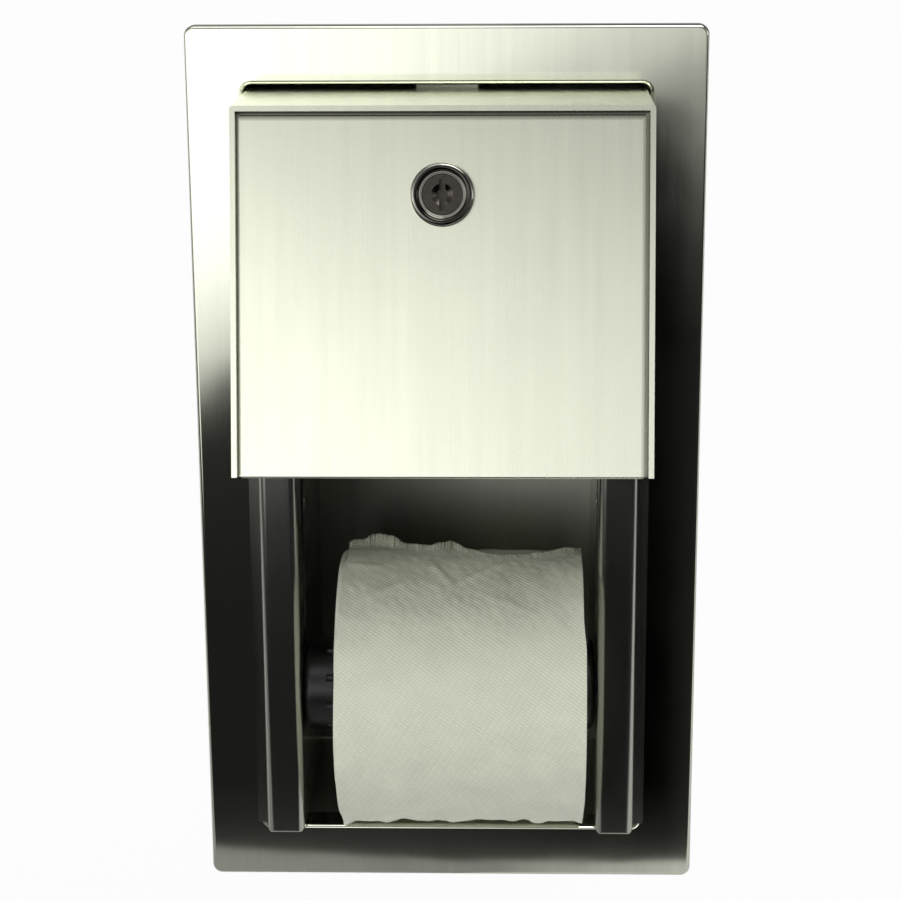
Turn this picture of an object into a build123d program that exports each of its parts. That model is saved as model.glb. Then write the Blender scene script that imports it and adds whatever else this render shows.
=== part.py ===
from build123d import *
import math
import os

# Recessed dispenser for two toilet rolls, one in use and one in reserve behind a locking hood.
# Millimetres. X to the right seen from the front, Y into the wall, Z up.
# The origin is the centre of the wall opening, in the plane of the wall's surface.

# Flange that covers the edge of the wall opening
flange_width = 200.0
flange_height = 352.0
flange_depth = 6.0
flange_sheet = 1.0
flange_corner_radius = 4.0
flange_bend_radius = 1.5
opening_width = 155.5
opening_height = 307.0
opening_corner_radius = 3.0
lip_depth = 12.0
lip_bend_radius = 2.8

# Recessed cabinet
cabinet_depth = 92.0
cabinet_sheet = 1.0
cabinet_front_y = -4.5
pan_rear_flange = 12.0
pan_side_flange = 10.0
pan_side_setback = 2.0
wall_screw_radius = 2.6
wall_screw_y = 62.0
wall_screw_spacing = 240.0
driver_hole_radius = 6.0

# Tracks, the folded channels that carry both spindles
track_gap = 120.0
track_face_width = 15.2
track_proud = 12.0
track_sheet = 1.2
track_bend_radius = 3.0
track_bottom_clearance = 1.7
track_top_clearance = 5.5
track_outer_wall_rear_y = 8.0
track_foot_width = 13.0
track_end_chamfer = 1.5
track_end_bevel = 0.8
track_strip_overlap = 2.2
track_strip_top_z = 14.0
track_foot_clearance = 0.5
track_foot_gap = 0.1
track_rivet_radius = 1.6
track_rivet_head_radius = 3.2
track_rivet_head = 1.0
track_rivet_tail_radius = 2.6
track_rivet_spacing = 100.0

# Spindles, cores and rolls
spindle_y = 5.0
spindle_low_z = -94.5
spindle_spacing = 150.5
spindle_radius = 18.7
spindle_wall = 2.5
spindle_end_wall = 3.2
spindle_end_radius = 2.5
spindle_end_clearance = 0.8
spindle_flutes = 10
spindle_flute_radius = 1.6
spindle_flute_offset = 0.6
spindle_flute_start = 9.0
spindle_spigot_wall = 2.0
spindle_plug_reach = 12.0
trunnion_radius = 5.0
trunnion_reach = 9.0
trunnion_clearance = 0.3
trunnion_chamfer = 0.8
slot_exit_rise = 26.0
roll_width = 100.0
roll_radius = 55.7
roll_edge_radius = 3.0
roll_dish = 1.2
lower_roll_shift = 4.0
core_clearance = 0.3
core_wall = 1.2
sheet_thickness = 0.6
sheet_start_angle = 96.0
sheet_end_angle = 242.0

# Rockers, which hold the reserve spindle up until the lower spindle is gone
rocker_sheet = 1.6
rocker_stand_off = 1.8
rocker_pivot_y = 18.0
rocker_pivot_z = -19.0
rocker_spine_width = 14.0
rocker_spine_lead = 2.0
rocker_hook_depth = 8.0
rocker_hook_tip_angle = 14.0
rocker_foot_height = 15.0
rocker_pin_radius = 3.0
rocker_pin_head = 5.0
rocker_pin_head_height = 1.5
rocker_pin_tail_radius = 4.0
rocker_pin_tail = 0.15

# Hood over the reserve roll
hood_width = 154.0
hood_sheet = 1.0
hood_top_clearance = 1.5
hood_bottom_z = 20.0
hood_top_proud = 52.0
hood_bottom_proud = 79.0
hood_rear_y = 6.0
hood_ear_rear_y = 9.0
hood_ear_height = 34.0
hood_hem = 8.0
hood_face_recess = 1.5
hood_face_drop = 0.8
hood_face_return = 12.0
hood_field_rise = 3.0
hood_field_top_gap = 1.9
hood_field_side_gap = 1.5
hood_bend_radius = 1.2
hood_field_rounding = 0.8
hood_pivot_y = -11.0
hood_pivot_rise = 6.0
hood_swing = 55.0
pivot_radius = 3.0
pivot_head_radius = 4.0
pivot_head = 1.2
pivot_washer_radius = 5.1
stop_radius = 2.0
stop_head_radius = 3.4
stop_head = 1.0
stop_arm = 13.0
stop_margin_angle = 1.5
running_clearance = 0.05
moving_clearance = 0.3
side_clearance = 0.1

# Cam lock
lock_drop = 31.6
lock_bezel_radius = 11.6
lock_bezel_edge = 0.5
lock_crown_radius = 10.2
lock_crown_height = 2.6
lock_crown_inner_radius = 8.7
lock_crown_inner_height = 1.9
lock_step_outer_radius = 8.4
lock_step_inner_radius = 8.0
lock_step_height = 1.2
lock_seat_radius = 7.8
lock_seat_height = 0.8
lock_body_radius = 9.5
lock_body_flat = 8.2
lock_body_depth = 14.5
lock_plug_radius = 7.5
lock_plug_height = 1.0
lock_plug_chamfer = 0.25
lock_groove_outer = 5.9
lock_groove_inner = 5.2
lock_groove_depth = 0.35
keyway_height = 11.5
keyway_width = 2.2
keyway_eye_radius = 2.1
keyway_rim_radius = 4.0
keyway_rim_depth = 1.1
keyway_depth = 9.0
lock_nut_flats = 24.0
lock_nut_height = 4.0
tang_size = 6.0
tang_length = 2.2
cam_sheet = 2.0
cam_reach = 23.0
cam_width = 12.0
cam_hub_radius = 7.5
cam_gap = 0.2
screw_radius = 2.0
screw_head_radius = 3.8
screw_head = 2.0
screw_reach = 7.0
screw_slot_width = 1.0
screw_slot_depth = 0.8

# Keeper that the cam turns behind
keeper_sheet = 1.5
keeper_width = 24.0
keeper_foot = 22.0
keeper_rise_y = 8.0
keeper_tab_bottom_z = 134.0
keeper_tab_clearance = 0.5
keeper_hood_clearance = 7.2
keeper_rivet_radius = 1.6
keeper_rivet_spread = 11.0

# Allowances for cutting and joining solids
cut_extra = 1.0
fuse_overlap = 0.5

# Places worked out from the sizes above
face_y = -flange_depth
opening_x = opening_width / 2
opening_z = opening_height / 2
wrap_x = opening_x + flange_sheet
pan_z = opening_z + flange_sheet
back_y = cabinet_depth - cabinet_sheet
track_inner_x = track_gap / 2
track_outer_x = track_inner_x + track_face_width
track_front_y = face_y - track_proud
track_bottom_z = -opening_z + track_bottom_clearance
track_top_z = opening_z - track_top_clearance
spindle_high_z = spindle_low_z + spindle_spacing
slot_half = trunnion_radius + trunnion_clearance
slot_exit_z = spindle_high_z + slot_exit_rise
spindle_end_x = track_inner_x - spindle_end_clearance
rocker_x = track_inner_x + track_sheet + rocker_stand_off
hood_x = hood_width / 2
hood_inner_x = hood_x - hood_sheet
hood_top_z = opening_z - hood_top_clearance
hood_height = hood_top_z - hood_bottom_z
hood_pivot_z = hood_bottom_z + hood_pivot_rise
hood_slope = math.atan2(hood_bottom_proud - hood_top_proud, hood_height)
core_inner_radius = spindle_radius + core_clearance
core_outer_radius = core_inner_radius + core_wall


def block(x_low, x_high, y_low, y_high, z_low, z_high):
    """Box between two corners."""
    size = Box(x_high - x_low, y_high - y_low, z_high - z_low)
    return Pos((x_low + x_high) / 2, (y_low + y_high) / 2, (z_low + z_high) / 2) * size


def side_plate(points, x_low, x_high):
    """Flat plate with an outline of (y, z) points, between two X planes."""
    outline = make_face(Polyline(*points, close=True))
    return extrude(Plane.YZ.offset(x_low) * outline, amount=x_high - x_low)


def rod(radius, x_low, x_high, y, z):
    """Round bar along X."""
    return Pos((x_low + x_high) / 2, y, z) * Rot(0, 90, 0) * Cylinder(radius, x_high - x_low)


def stud(radius, y_low, y_high, x, z):
    """Round bar along Y."""
    return Pos(x, (y_low + y_high) / 2, z) * Rot(90, 0, 0) * Cylinder(radius, y_high - y_low)


def post(radius, z_low, z_high, x, y):
    """Round bar along Z."""
    return Pos(x, y, (z_low + z_high) / 2) * Cylinder(radius, z_high - z_low)


def mirrored(solid):
    """The same piece on the other side of the object."""
    return mirror(solid, about=Plane.YZ)


def rounded_block(width, height, radius, y_low, y_high):
    """Block along Y with rounded corners, centred on the opening."""
    outline = RectangleRounded(width, height, radius)
    return Pos(0, y_high, 0) * extrude(Plane.XZ * outline, amount=y_high - y_low)


def make_flange():
    """Drawn frame with its outer edges returned to the wall and a lip round the opening."""
    outside = rounded_block(flange_width, flange_height, flange_corner_radius, face_y, 0)
    front_edges = outside.edges().group_by(Axis.Y)[0]
    outside = fillet(front_edges, flange_bend_radius)
    inside = rounded_block(
        flange_width - 2 * flange_sheet,
        flange_height - 2 * flange_sheet,
        flange_corner_radius - flange_sheet,
        face_y + flange_sheet,
        0,
    )
    lip_outer = rounded_block(
        opening_width + 2 * flange_sheet,
        opening_height + 2 * flange_sheet,
        opening_corner_radius + flange_sheet,
        face_y,
        face_y + lip_depth,
    )
    shell = (outside - inside) + lip_outer
    hole = rounded_block(
        opening_width,
        opening_height,
        opening_corner_radius,
        face_y - cut_extra,
        face_y + lip_depth + cut_extra,
    )
    frame = shell - hole
    rim = frame.edges().group_by(Axis.Y)[0]
    inner_rim = [
        edge
        for edge in rim
        if abs(edge.center().X) < opening_x + flange_sheet
        and abs(edge.center().Z) < opening_z + flange_sheet
    ]
    return fillet(inner_rim, lip_bend_radius - flange_sheet)


def wall_screw_holes(radius, x_low, x_high):
    """Pair of holes on one side of the cabinet for the screws into the wall frame."""
    half = wall_screw_spacing / 2
    low = rod(radius, x_low, x_high, wall_screw_y, -half)
    high = rod(radius, x_low, x_high, wall_screw_y, half)
    return low + high


def track_rivet_places():
    """Heights of the rivets that fasten each track's foot to the cabinet's back."""
    return [-track_rivet_spacing, 0, track_rivet_spacing]


def track_rivet_x():
    """Distance of these rivets from the middle."""
    return track_inner_x + track_sheet + track_foot_width / 2


def make_cabinet_wrap():
    """Left side, back and right side in one folded sheet."""
    outer = block(
        -wrap_x - cabinet_sheet,
        wrap_x + cabinet_sheet,
        cabinet_front_y,
        cabinet_depth,
        -pan_z - cabinet_sheet,
        pan_z + cabinet_sheet,
    )
    outer = fillet(outer.edges().filter_by(Axis.Z).group_by(Axis.Y)[-1], flange_bend_radius)
    half_height = pan_z + cabinet_sheet + cut_extra
    inner = block(-wrap_x, wrap_x, cabinet_front_y - cut_extra, back_y, -half_height, half_height)
    wrap = outer - inner
    rear = cabinet_depth + cut_extra
    for side in (-1, 1):
        low = side * (wrap_x + cabinet_sheet / 2) - cabinet_sheet
        wrap -= wall_screw_holes(wall_screw_radius, low, low + 2 * cabinet_sheet)
        for z in track_rivet_places():
            wrap -= stud(track_rivet_radius, back_y - cut_extra, rear, side * track_rivet_x(), z)
    return wrap


def make_cabinet_end():
    """Top pan with rear and side flanges turned down inside the wrap."""
    plate = block(-wrap_x, wrap_x, cabinet_front_y, back_y, pan_z, pan_z + cabinet_sheet)
    rear = block(-wrap_x, wrap_x, back_y - cabinet_sheet, back_y, pan_z - pan_rear_flange, pan_z)
    side_front = face_y + lip_depth + pan_side_setback
    side = block(
        wrap_x - cabinet_sheet, wrap_x, side_front, back_y, pan_z - pan_side_flange, pan_z
    )
    return plate + rear + side + mirrored(side)


def make_cabinet_top():
    """Top pan, with the two rivet holes of the keeper's foot."""
    top = make_cabinet_end()
    for y in keeper_rivet_ys():
        top -= post(keeper_rivet_radius, pan_z - cut_extra, pan_z + cabinet_sheet + cut_extra, 0, y)
    return top


def make_cabinet_bottom():
    """Bottom pan, the top one turned over."""
    return mirror(make_cabinet_end(), about=Plane.XY)


def track_section():
    """Plan view of the right-hand channel, drawn on XY: deep inner wall, front and outer wall."""
    foot_front = back_y - track_sheet
    outline = [
        (track_inner_x + track_sheet + track_foot_width, back_y),
        (track_inner_x, back_y),
        (track_inner_x, track_front_y),
        (track_outer_x, track_front_y),
        (track_outer_x, track_outer_wall_rear_y),
        (track_outer_x - track_sheet, track_outer_wall_rear_y),
        (track_outer_x - track_sheet, track_front_y + track_sheet),
        (track_inner_x + track_sheet, track_front_y + track_sheet),
        (track_inner_x + track_sheet, foot_front),
        (track_inner_x + track_sheet + track_foot_width, foot_front),
    ]
    face = make_face(Polyline(*outline, close=True))
    corners = face.vertices()
    outside = [v for v in corners if abs(v.Y - track_front_y) < 0.01]
    face = fillet(outside, track_bend_radius)
    inside = [v for v in face.vertices() if abs(v.Y - track_front_y - track_sheet) < 0.01]
    inside = [v for v in inside if track_inner_x + 0.1 < v.X < track_outer_x - 0.1]
    return fillet(inside, track_bend_radius - track_sheet)


def slot_path(x_low, x_high):
    """Trunnion slot: up from the lower seat, then forward out of the channel's front."""
    seat = rod(slot_half, x_low, x_high, spindle_y, spindle_low_z)
    upright = block(
        x_low, x_high, spindle_y - slot_half, spindle_y + slot_half, spindle_low_z, slot_exit_z
    )
    top = rod(slot_half, x_low, x_high, spindle_y, slot_exit_z)
    front = track_front_y - cut_extra
    exit_way = block(
        x_low, x_high, front, spindle_y, slot_exit_z - slot_half, slot_exit_z + slot_half
    )
    return seat + upright + top + exit_way


def make_track():
    """Right-hand track with its slot, holes, foot and the strip that laps the flange."""
    height = track_top_z - track_bottom_z
    body = Pos(0, 0, track_bottom_z) * extrude(track_section(), amount=height)
    cut_low = track_inner_x - cut_extra
    body -= slot_path(cut_low, track_inner_x + track_sheet + cut_extra)
    body -= block(
        cut_low,
        track_outer_x + cut_extra,
        track_front_y - cut_extra,
        track_front_y + track_bend_radius,
        slot_exit_z - slot_half,
        slot_exit_z + slot_half,
    )
    body -= wall_screw_holes(driver_hole_radius, cut_low, track_inner_x + track_sheet + cut_extra)
    cut_high = track_inner_x + track_sheet + cut_extra
    body -= rod(rocker_pin_radius, cut_low, cut_high, rocker_pivot_y, rocker_pivot_z)
    wall_low = track_outer_x - track_sheet - cut_extra
    body -= rod(pivot_radius, wall_low, track_outer_x + cut_extra, hood_pivot_y, hood_pivot_z)
    body -= rod(stop_radius, wall_low, track_outer_x + cut_extra, hood_pivot_y, hood_pivot_z + stop_arm)
    for z in track_rivet_places():
        foot_front = back_y - track_sheet - cut_extra
        body -= stud(track_rivet_radius, foot_front, back_y + cut_extra, track_rivet_x(), z)
    foot_end = pan_z - pan_rear_flange - track_foot_clearance
    foot_clear = back_y - track_sheet - track_foot_gap
    for z_low, z_high in ((-pan_z, -foot_end), (foot_end, pan_z)):
        body -= block(cut_low, track_outer_x + cut_extra, foot_clear, back_y + cut_extra, z_low, z_high)
    side = track_end_chamfer * math.sqrt(2)
    for x in (track_inner_x, track_outer_x):
        corner = Pos(x, track_front_y, track_bottom_z) * Rot(0, 45, 0)
        body -= corner * Box(side, 2 * track_bend_radius, side)
    side = track_end_bevel * math.sqrt(2)
    middle_x = (track_inner_x + track_outer_x) / 2
    edge = Pos(middle_x, track_front_y, track_bottom_z) * Rot(45, 0, 0)
    body -= edge * Box(2 * track_face_width, side, side)
    strip = block(
        track_outer_x,
        opening_x + track_strip_overlap,
        face_y - track_sheet,
        face_y,
        track_bottom_z,
        track_strip_top_z,
    )
    return body + strip


def make_track_rivets():
    """Rivets through the tracks' feet and the cabinet's back, three on each side."""
    solids = []
    foot_front = back_y - track_sheet
    for side in (-1, 1):
        x = side * track_rivet_x()
        for z in track_rivet_places():
            shank = stud(track_rivet_radius, foot_front - fuse_overlap, cabinet_depth + fuse_overlap, x, z)
            head = stud(track_rivet_head_radius, foot_front - track_rivet_head, foot_front, x, z)
            tail_end = cabinet_depth + track_rivet_head
            tail = stud(track_rivet_tail_radius, cabinet_depth, tail_end, x, z)
            solids.append(shank + head + tail)
    return Compound(children=solids)


def keeper_rivet_ys():
    """Places along Y of the keeper's two rivets."""
    middle = keeper_rise_y + (keeper_sheet + keeper_foot) / 2
    return [middle - keeper_rivet_spread / 2, middle + keeper_rivet_spread / 2]


def cam_front_y(z):
    """Y of the cam's front face at a height, when the cam points up."""
    front = lock_place() * Pos(0, 0, -lock_body_depth - cam_gap)
    origin = front.position
    return origin.Y + (z - origin.Z) * math.tan(hood_slope)


def make_keeper():
    """Bent strip from the cabinet's top, forward into the hood, with a tab in front of the cam."""
    half = keeper_width / 2
    plate_top = hood_top_z - hood_sheet - keeper_hood_clearance
    plate_low = plate_top - keeper_sheet
    tab_rear = cam_front_y(keeper_tab_bottom_z) - keeper_tab_clearance
    tab_front = tab_rear - keeper_sheet
    rise_front = keeper_rise_y
    outline = [
        (tab_front, keeper_tab_bottom_z),
        (tab_rear, keeper_tab_bottom_z),
        (tab_rear, plate_low),
        (rise_front + keeper_sheet, plate_low),
        (rise_front + keeper_sheet, pan_z - keeper_sheet),
        (rise_front + keeper_foot, pan_z - keeper_sheet),
        (rise_front + keeper_foot, pan_z),
        (rise_front, pan_z),
        (rise_front, plate_top),
        (tab_front, plate_top),
    ]
    keeper = side_plate(outline, -half, half)
    for y in keeper_rivet_ys():
        foot_low = pan_z - keeper_sheet - cut_extra
        keeper -= post(keeper_rivet_radius, foot_low, pan_z + cut_extra, 0, y)
    return keeper


def make_keeper_rivets():
    """Two rivets through the keeper's foot and the cabinet's top."""
    solids = []
    low = pan_z - keeper_sheet
    high = pan_z + cabinet_sheet
    for y in keeper_rivet_ys():
        shank = post(keeper_rivet_radius, low - fuse_overlap, high + fuse_overlap, 0, y)
        head = post(track_rivet_head_radius, low - track_rivet_head, low, 0, y)
        tail = post(track_rivet_tail_radius, high, high + track_rivet_head, 0, y)
        solids.append(shank + head + tail)
    return Compound(children=solids)


def hood_line_y(z):
    """Y of the hood's front edge at a height."""
    share = (hood_top_z - z) / hood_height
    return face_y - hood_top_proud - share * (hood_bottom_proud - hood_top_proud)


def slanted_outline(inset, z_low, z_high, depth):
    """Strip in side view, parallel to the hood's front edge and set back from it."""
    step = inset / math.cos(hood_slope)
    reach = depth / math.cos(hood_slope)
    return [
        (hood_line_y(z_low) + step, z_low),
        (hood_line_y(z_high) + step, z_high),
        (hood_line_y(z_high) + step + reach, z_high),
        (hood_line_y(z_low) + step + reach, z_low),
    ]


def arch(half_outer, top_outer, wall, y_low, y_high):
    """Inverted U of sheet along Y: two sides and a top."""
    outer = block(-half_outer, half_outer, y_low, y_high, hood_bottom_z, top_outer)
    half_inner = half_outer - wall
    inner = block(
        -half_inner,
        half_inner,
        y_low - cut_extra,
        y_high + cut_extra,
        hood_bottom_z - cut_extra,
        top_outer - wall,
    )
    return outer, inner


def make_hood_wrap():
    """Top and sides of the hood, with a hemmed front edge, pivot holes and stop slots."""
    y_low = hood_line_y(hood_bottom_z) - cut_extra
    outer, inner = arch(hood_x, hood_top_z, hood_sheet, y_low, hood_ear_rear_y + cut_extra)
    outer = fillet(outer.edges().filter_by(Axis.Y).group_by(Axis.Z)[-1], hood_bend_radius)
    ear_top = hood_bottom_z + hood_ear_height
    outline = [
        (hood_line_y(hood_bottom_z), hood_bottom_z),
        (hood_line_y(hood_top_z), hood_top_z),
        (hood_rear_y, hood_top_z),
        (hood_rear_y, ear_top + (hood_ear_rear_y - hood_rear_y)),
        (hood_ear_rear_y, ear_top),
        (hood_ear_rear_y, hood_bottom_z),
    ]
    shell = (outer - inner) & side_plate(outline, -hood_x - cut_extra, hood_x + cut_extra)
    hem_outer, hem_inner = arch(
        hood_inner_x, hood_top_z - hood_sheet, hood_sheet, y_low, hood_rear_y
    )
    strip = slanted_outline(0, hood_bottom_z, hood_top_z - hood_sheet, hood_hem)
    hem = (hem_outer - hem_inner) & side_plate(strip, -hood_x, hood_x)
    hood = shell + hem
    pivot_hole = pivot_radius + running_clearance
    slot = stop_slot(-hood_x - cut_extra, hood_x + cut_extra)
    hood -= rod(pivot_hole, -hood_x - cut_extra, hood_x + cut_extra, hood_pivot_y, hood_pivot_z)
    return hood - slot


def stop_slot(x_low, x_high):
    """Curved slot round the pivot that lets the hood swing until the stop pin meets its end."""
    start = 90 - hood_swing - stop_margin_angle
    sweep = hood_swing + 2 * stop_margin_angle
    centre = (hood_pivot_y, hood_pivot_z)
    arc = CenterArc(centre, stop_arm, start, sweep)
    outline = SlotArc(arc, 2 * (stop_radius + moving_clearance))
    return extrude(Plane.YZ.offset(x_low) * outline, amount=x_high - x_low)


def hood_panel_block(recess, inset, half, top, depth):
    """Block behind the panel's face or margin, drawn in by the sheet for the hollow side."""
    low = hood_bottom_z - hood_face_drop + inset
    outline = slanted_outline(recess + inset, low, top - inset, depth)
    return side_plate(outline, -half + inset, half - inset)


def make_hood_front():
    """Front panel: a pan between the hood's hemmed edges, with a raised field."""
    margin = hood_face_recess + hood_field_rise
    half = hood_inner_x - hood_sheet
    top = hood_top_z - 2 * hood_sheet
    field_half = half - hood_field_side_gap
    field_top = top - hood_field_top_gap
    field_depth = hood_field_rise + hood_sheet / 2
    field = hood_panel_block(hood_face_recess, 0, field_half, field_top, field_depth)
    field = fillet(field.faces().sort_by(Axis.Y)[0].edges(), hood_field_rounding)
    pan = hood_panel_block(margin, 0, half, top, hood_face_return) + field
    hollow = hood_panel_block(margin, hood_sheet, half, top, hood_face_return)
    field_depth += hood_sheet
    hollow += hood_panel_block(hood_face_recess, hood_sheet, field_half, field_top, field_depth)
    hole_radius = lock_body_radius + running_clearance
    hole = lock_place() * Cylinder(hole_radius, 2 * (hood_sheet + cut_extra))
    return pan - hollow - hole


def lock_place():
    """Frame on the front panel: origin on its outer face, local Z out of the panel, Y up it."""
    z = hood_top_z - lock_drop
    step = hood_face_recess / math.cos(hood_slope)
    return Pos(0, hood_line_y(z) + step, z) * Rot(90 - math.degrees(hood_slope), 0, 0)


def lock_axis():
    """Direction out of the panel at the lock."""
    return (0, -math.cos(hood_slope), math.sin(hood_slope))


def disc(radius, low, high):
    """Cylinder between two heights on the lock's own axis."""
    return Pos(0, 0, (low + high) / 2) * Cylinder(radius, high - low)


def bezel_section():
    """Half section of the bezel: a round crown, then a step and a bevel down to the plug."""
    bore = lock_plug_radius + running_clearance
    edge = (lock_bezel_radius, 0, lock_bezel_edge)
    crown = (lock_crown_radius, 0, lock_crown_height)
    crown_end = (lock_crown_inner_radius, 0, lock_crown_inner_height)
    inside = Polyline(
        crown_end,
        (lock_step_outer_radius, 0, lock_step_height),
        (lock_step_inner_radius, 0, lock_step_height),
        (lock_seat_radius, 0, lock_seat_height),
        (bore, 0, lock_seat_height),
        (bore, 0, 0),
        (lock_bezel_radius, 0, 0),
        edge,
    )
    return make_face([ThreePointArc(edge, crown, crown_end), inside])


def make_lock_body():
    """Lock housing: round bezel outside the panel and a body with two flats behind it."""
    bezel = revolve(bezel_section(), axis=Axis.Z)
    body = disc(lock_body_radius, -lock_body_depth, 0)
    flats = Box(2 * lock_body_flat, 4 * lock_body_radius, 4 * lock_body_depth)
    body = body & flats
    bore_radius = lock_plug_radius + running_clearance
    body -= disc(bore_radius, -lock_body_depth - cut_extra, cut_extra)
    return lock_place() * (bezel + body)


def make_lock_plug():
    """Turning plug with a turned face, an upright keyway and a square tang."""
    face = lock_plug_height
    plug = disc(lock_plug_radius, -lock_body_depth, face)
    rim = plug.edges().filter_by(GeomType.CIRCLE).sort_by(Axis.Z)[-1]
    plug = chamfer(rim, lock_plug_chamfer)
    groove_low = face - lock_groove_depth
    groove = disc(lock_groove_outer, groove_low, face + cut_extra)
    groove -= disc(lock_groove_inner, groove_low - cut_extra, face + 2 * cut_extra)
    keyway = Pos(0, 0, face - keyway_depth / 2) * Box(keyway_width, keyway_height, keyway_depth)
    eye = disc(keyway_eye_radius, face - keyway_depth, face + cut_extra)
    eye += Pos(0, 0, face - keyway_rim_depth / 2) * Cone(
        keyway_eye_radius, keyway_rim_radius, keyway_rim_depth
    )
    tang_low = -lock_body_depth - tang_length
    tang = Pos(0, 0, tang_low + tang_length / 2) * Box(tang_size, tang_size, tang_length)
    thread = disc(screw_radius, tang_low - cut_extra, tang_low + screw_reach)
    return lock_place() * (plug - groove - keyway - eye + tang - thread)


def make_lock_nut():
    """Hexagon nut that clamps the housing to the panel."""
    outline = RegularPolygon(lock_nut_flats / 2, 6, major_radius=False)
    low = -hood_sheet - lock_nut_height
    nut = Pos(0, 0, low) * extrude(outline, amount=lock_nut_height)
    bore = disc(lock_body_radius, low - cut_extra, 0)
    nut = nut - bore
    return lock_place() * nut


def cam_top():
    """Height of the cam's front face on the lock's axis."""
    return -lock_body_depth - cam_gap


def make_lock_cam():
    """Flat cam on the tang, pointing to the right in the unlocked state."""
    high = cam_top()
    low = high - cam_sheet
    hub = disc(cam_hub_radius, low, high)
    length = cam_reach - cam_width / 2
    arm = Pos(length / 2, 0, (low + high) / 2) * Box(length, cam_width, cam_sheet)
    tip = Pos(length, 0, 0) * disc(cam_width / 2, low, high)
    side = tang_size + 2 * running_clearance
    square = Pos(0, 0, (low + high) / 2) * Box(side, side, 2 * cam_sheet)
    return lock_place() * (hub + arm + tip - square)


def make_lock_screw():
    """Screw that holds the cam on the tang."""
    seat = -lock_body_depth - tang_length
    head = disc(screw_head_radius, seat - screw_head, seat)
    shank = disc(screw_radius, seat - fuse_overlap, seat + screw_reach - fuse_overlap)
    slot_length = 2 * screw_head_radius + cut_extra
    slot = Pos(0, 0, seat - screw_head) * Box(slot_length, screw_slot_width, 2 * screw_slot_depth)
    return lock_place() * (head + shank - slot)


def make_pivot_pins():
    """Shoulder rivets that the hood swings on, one on each side."""
    wall = track_outer_x - track_sheet
    shank_high = hood_x + side_clearance + fuse_overlap
    shank = rod(pivot_radius, wall - fuse_overlap, shank_high, hood_pivot_y, hood_pivot_z)
    tail = rod(pivot_head_radius, wall - pivot_head, wall, hood_pivot_y, hood_pivot_z)
    head_low = hood_x + side_clearance
    head = rod(pivot_head_radius, head_low, head_low + pivot_head, hood_pivot_y, hood_pivot_z)
    pin = shank + tail + head
    return Compound(children=[pin, mirrored(pin)])


def make_pivot_washers():
    """Thin washers between each track and the hood's side."""
    high = hood_inner_x - side_clearance
    ring = rod(pivot_washer_radius, track_outer_x, high, hood_pivot_y, hood_pivot_z)
    hole_radius = pivot_radius + running_clearance
    cut_low = track_outer_x - cut_extra
    ring -= rod(hole_radius, cut_low, high + cut_extra, hood_pivot_y, hood_pivot_z)
    return Compound(children=[ring, mirrored(ring)])


def make_stop_pins():
    """Rivets that stand in the hood's curved slots and limit its swing."""
    wall = track_outer_x - track_sheet
    z = hood_pivot_z + stop_arm
    shank_high = hood_x + side_clearance + fuse_overlap
    shank = rod(stop_radius, wall - fuse_overlap, shank_high, hood_pivot_y, z)
    tail = rod(stop_head_radius, wall - stop_head, wall, hood_pivot_y, z)
    head_low = hood_x + side_clearance
    head = rod(stop_head_radius, head_low, head_low + stop_head, hood_pivot_y, z)
    pin = shank + tail + head
    return Compound(children=[pin, mirrored(pin)])


def make_rocker():
    """Right-hand rocker: a hook under the reserve trunnion and a foot behind the lower one."""
    pivot = Vector(rocker_pivot_y, rocker_pivot_z)
    trunnion = Vector(spindle_y, spindle_high_z)
    arm = (trunnion - pivot).length
    outer = arm - trunnion_radius - trunnion_clearance
    inner = outer - rocker_hook_depth
    spine_front = rocker_pivot_y - rocker_spine_lead
    spine_rear = spine_front + rocker_spine_width
    foot_front = spindle_y + trunnion_radius + trunnion_clearance
    foot_top = spindle_low_z + rocker_foot_height / 2
    foot_low = spindle_low_z - rocker_foot_height / 2
    rear_angle = math.degrees(math.asin((spine_rear - rocker_pivot_y) / outer))
    start = 90 - rear_angle
    sweep = rear_angle + rocker_hook_tip_angle
    ring = Pos(pivot.X, pivot.Y) * (Circle(outer) - Circle(inner))
    reach = 2 * outer
    tip_angle = math.radians(start + sweep)
    rear_edge_angle = math.radians(start)
    wedge = make_face(
        Polyline(
            (pivot.X, pivot.Y),
            (pivot.X + reach * math.cos(rear_edge_angle), pivot.Y + reach * math.sin(rear_edge_angle)),
            (pivot.X + reach * math.cos(tip_angle), pivot.Y + reach * math.sin(tip_angle)),
            close=True,
        )
    )
    hook = ring & wedge
    spine_top = rocker_pivot_z + inner + rocker_hook_depth / 2
    spine = Pos((spine_front + spine_rear) / 2, (spine_top + foot_low) / 2) * Rectangle(
        rocker_spine_width, spine_top - foot_low
    )
    foot = Pos((foot_front + spine_rear) / 2, (foot_top + foot_low) / 2) * Rectangle(
        spine_rear - foot_front, rocker_foot_height
    )
    outline = hook + spine + foot
    hole = Pos(pivot.X, pivot.Y) * Circle(rocker_pin_radius + running_clearance)
    face = outline - hole
    return extrude(Plane.YZ.offset(rocker_x) * face, amount=rocker_sheet)


def make_rocker_pins():
    """Shoulder rivets in the tracks' inner walls that the rockers turn on."""
    wall = track_inner_x + track_sheet
    place = (rocker_pivot_y, rocker_pivot_z)
    head_low = rocker_x + rocker_sheet + side_clearance
    tail = rod(rocker_pin_tail_radius, track_inner_x - rocker_pin_tail, track_inner_x, *place)
    shank = rod(rocker_pin_radius, track_inner_x - rocker_pin_tail, head_low + fuse_overlap, *place)
    shoulder = rod(rocker_pin_head, wall, rocker_x - side_clearance, *place)
    head = rod(rocker_pin_head, head_low, head_low + rocker_pin_head_height, *place)
    pin = tail + shank + shoulder + head
    return Compound(children=[pin, mirrored(pin)])


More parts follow.
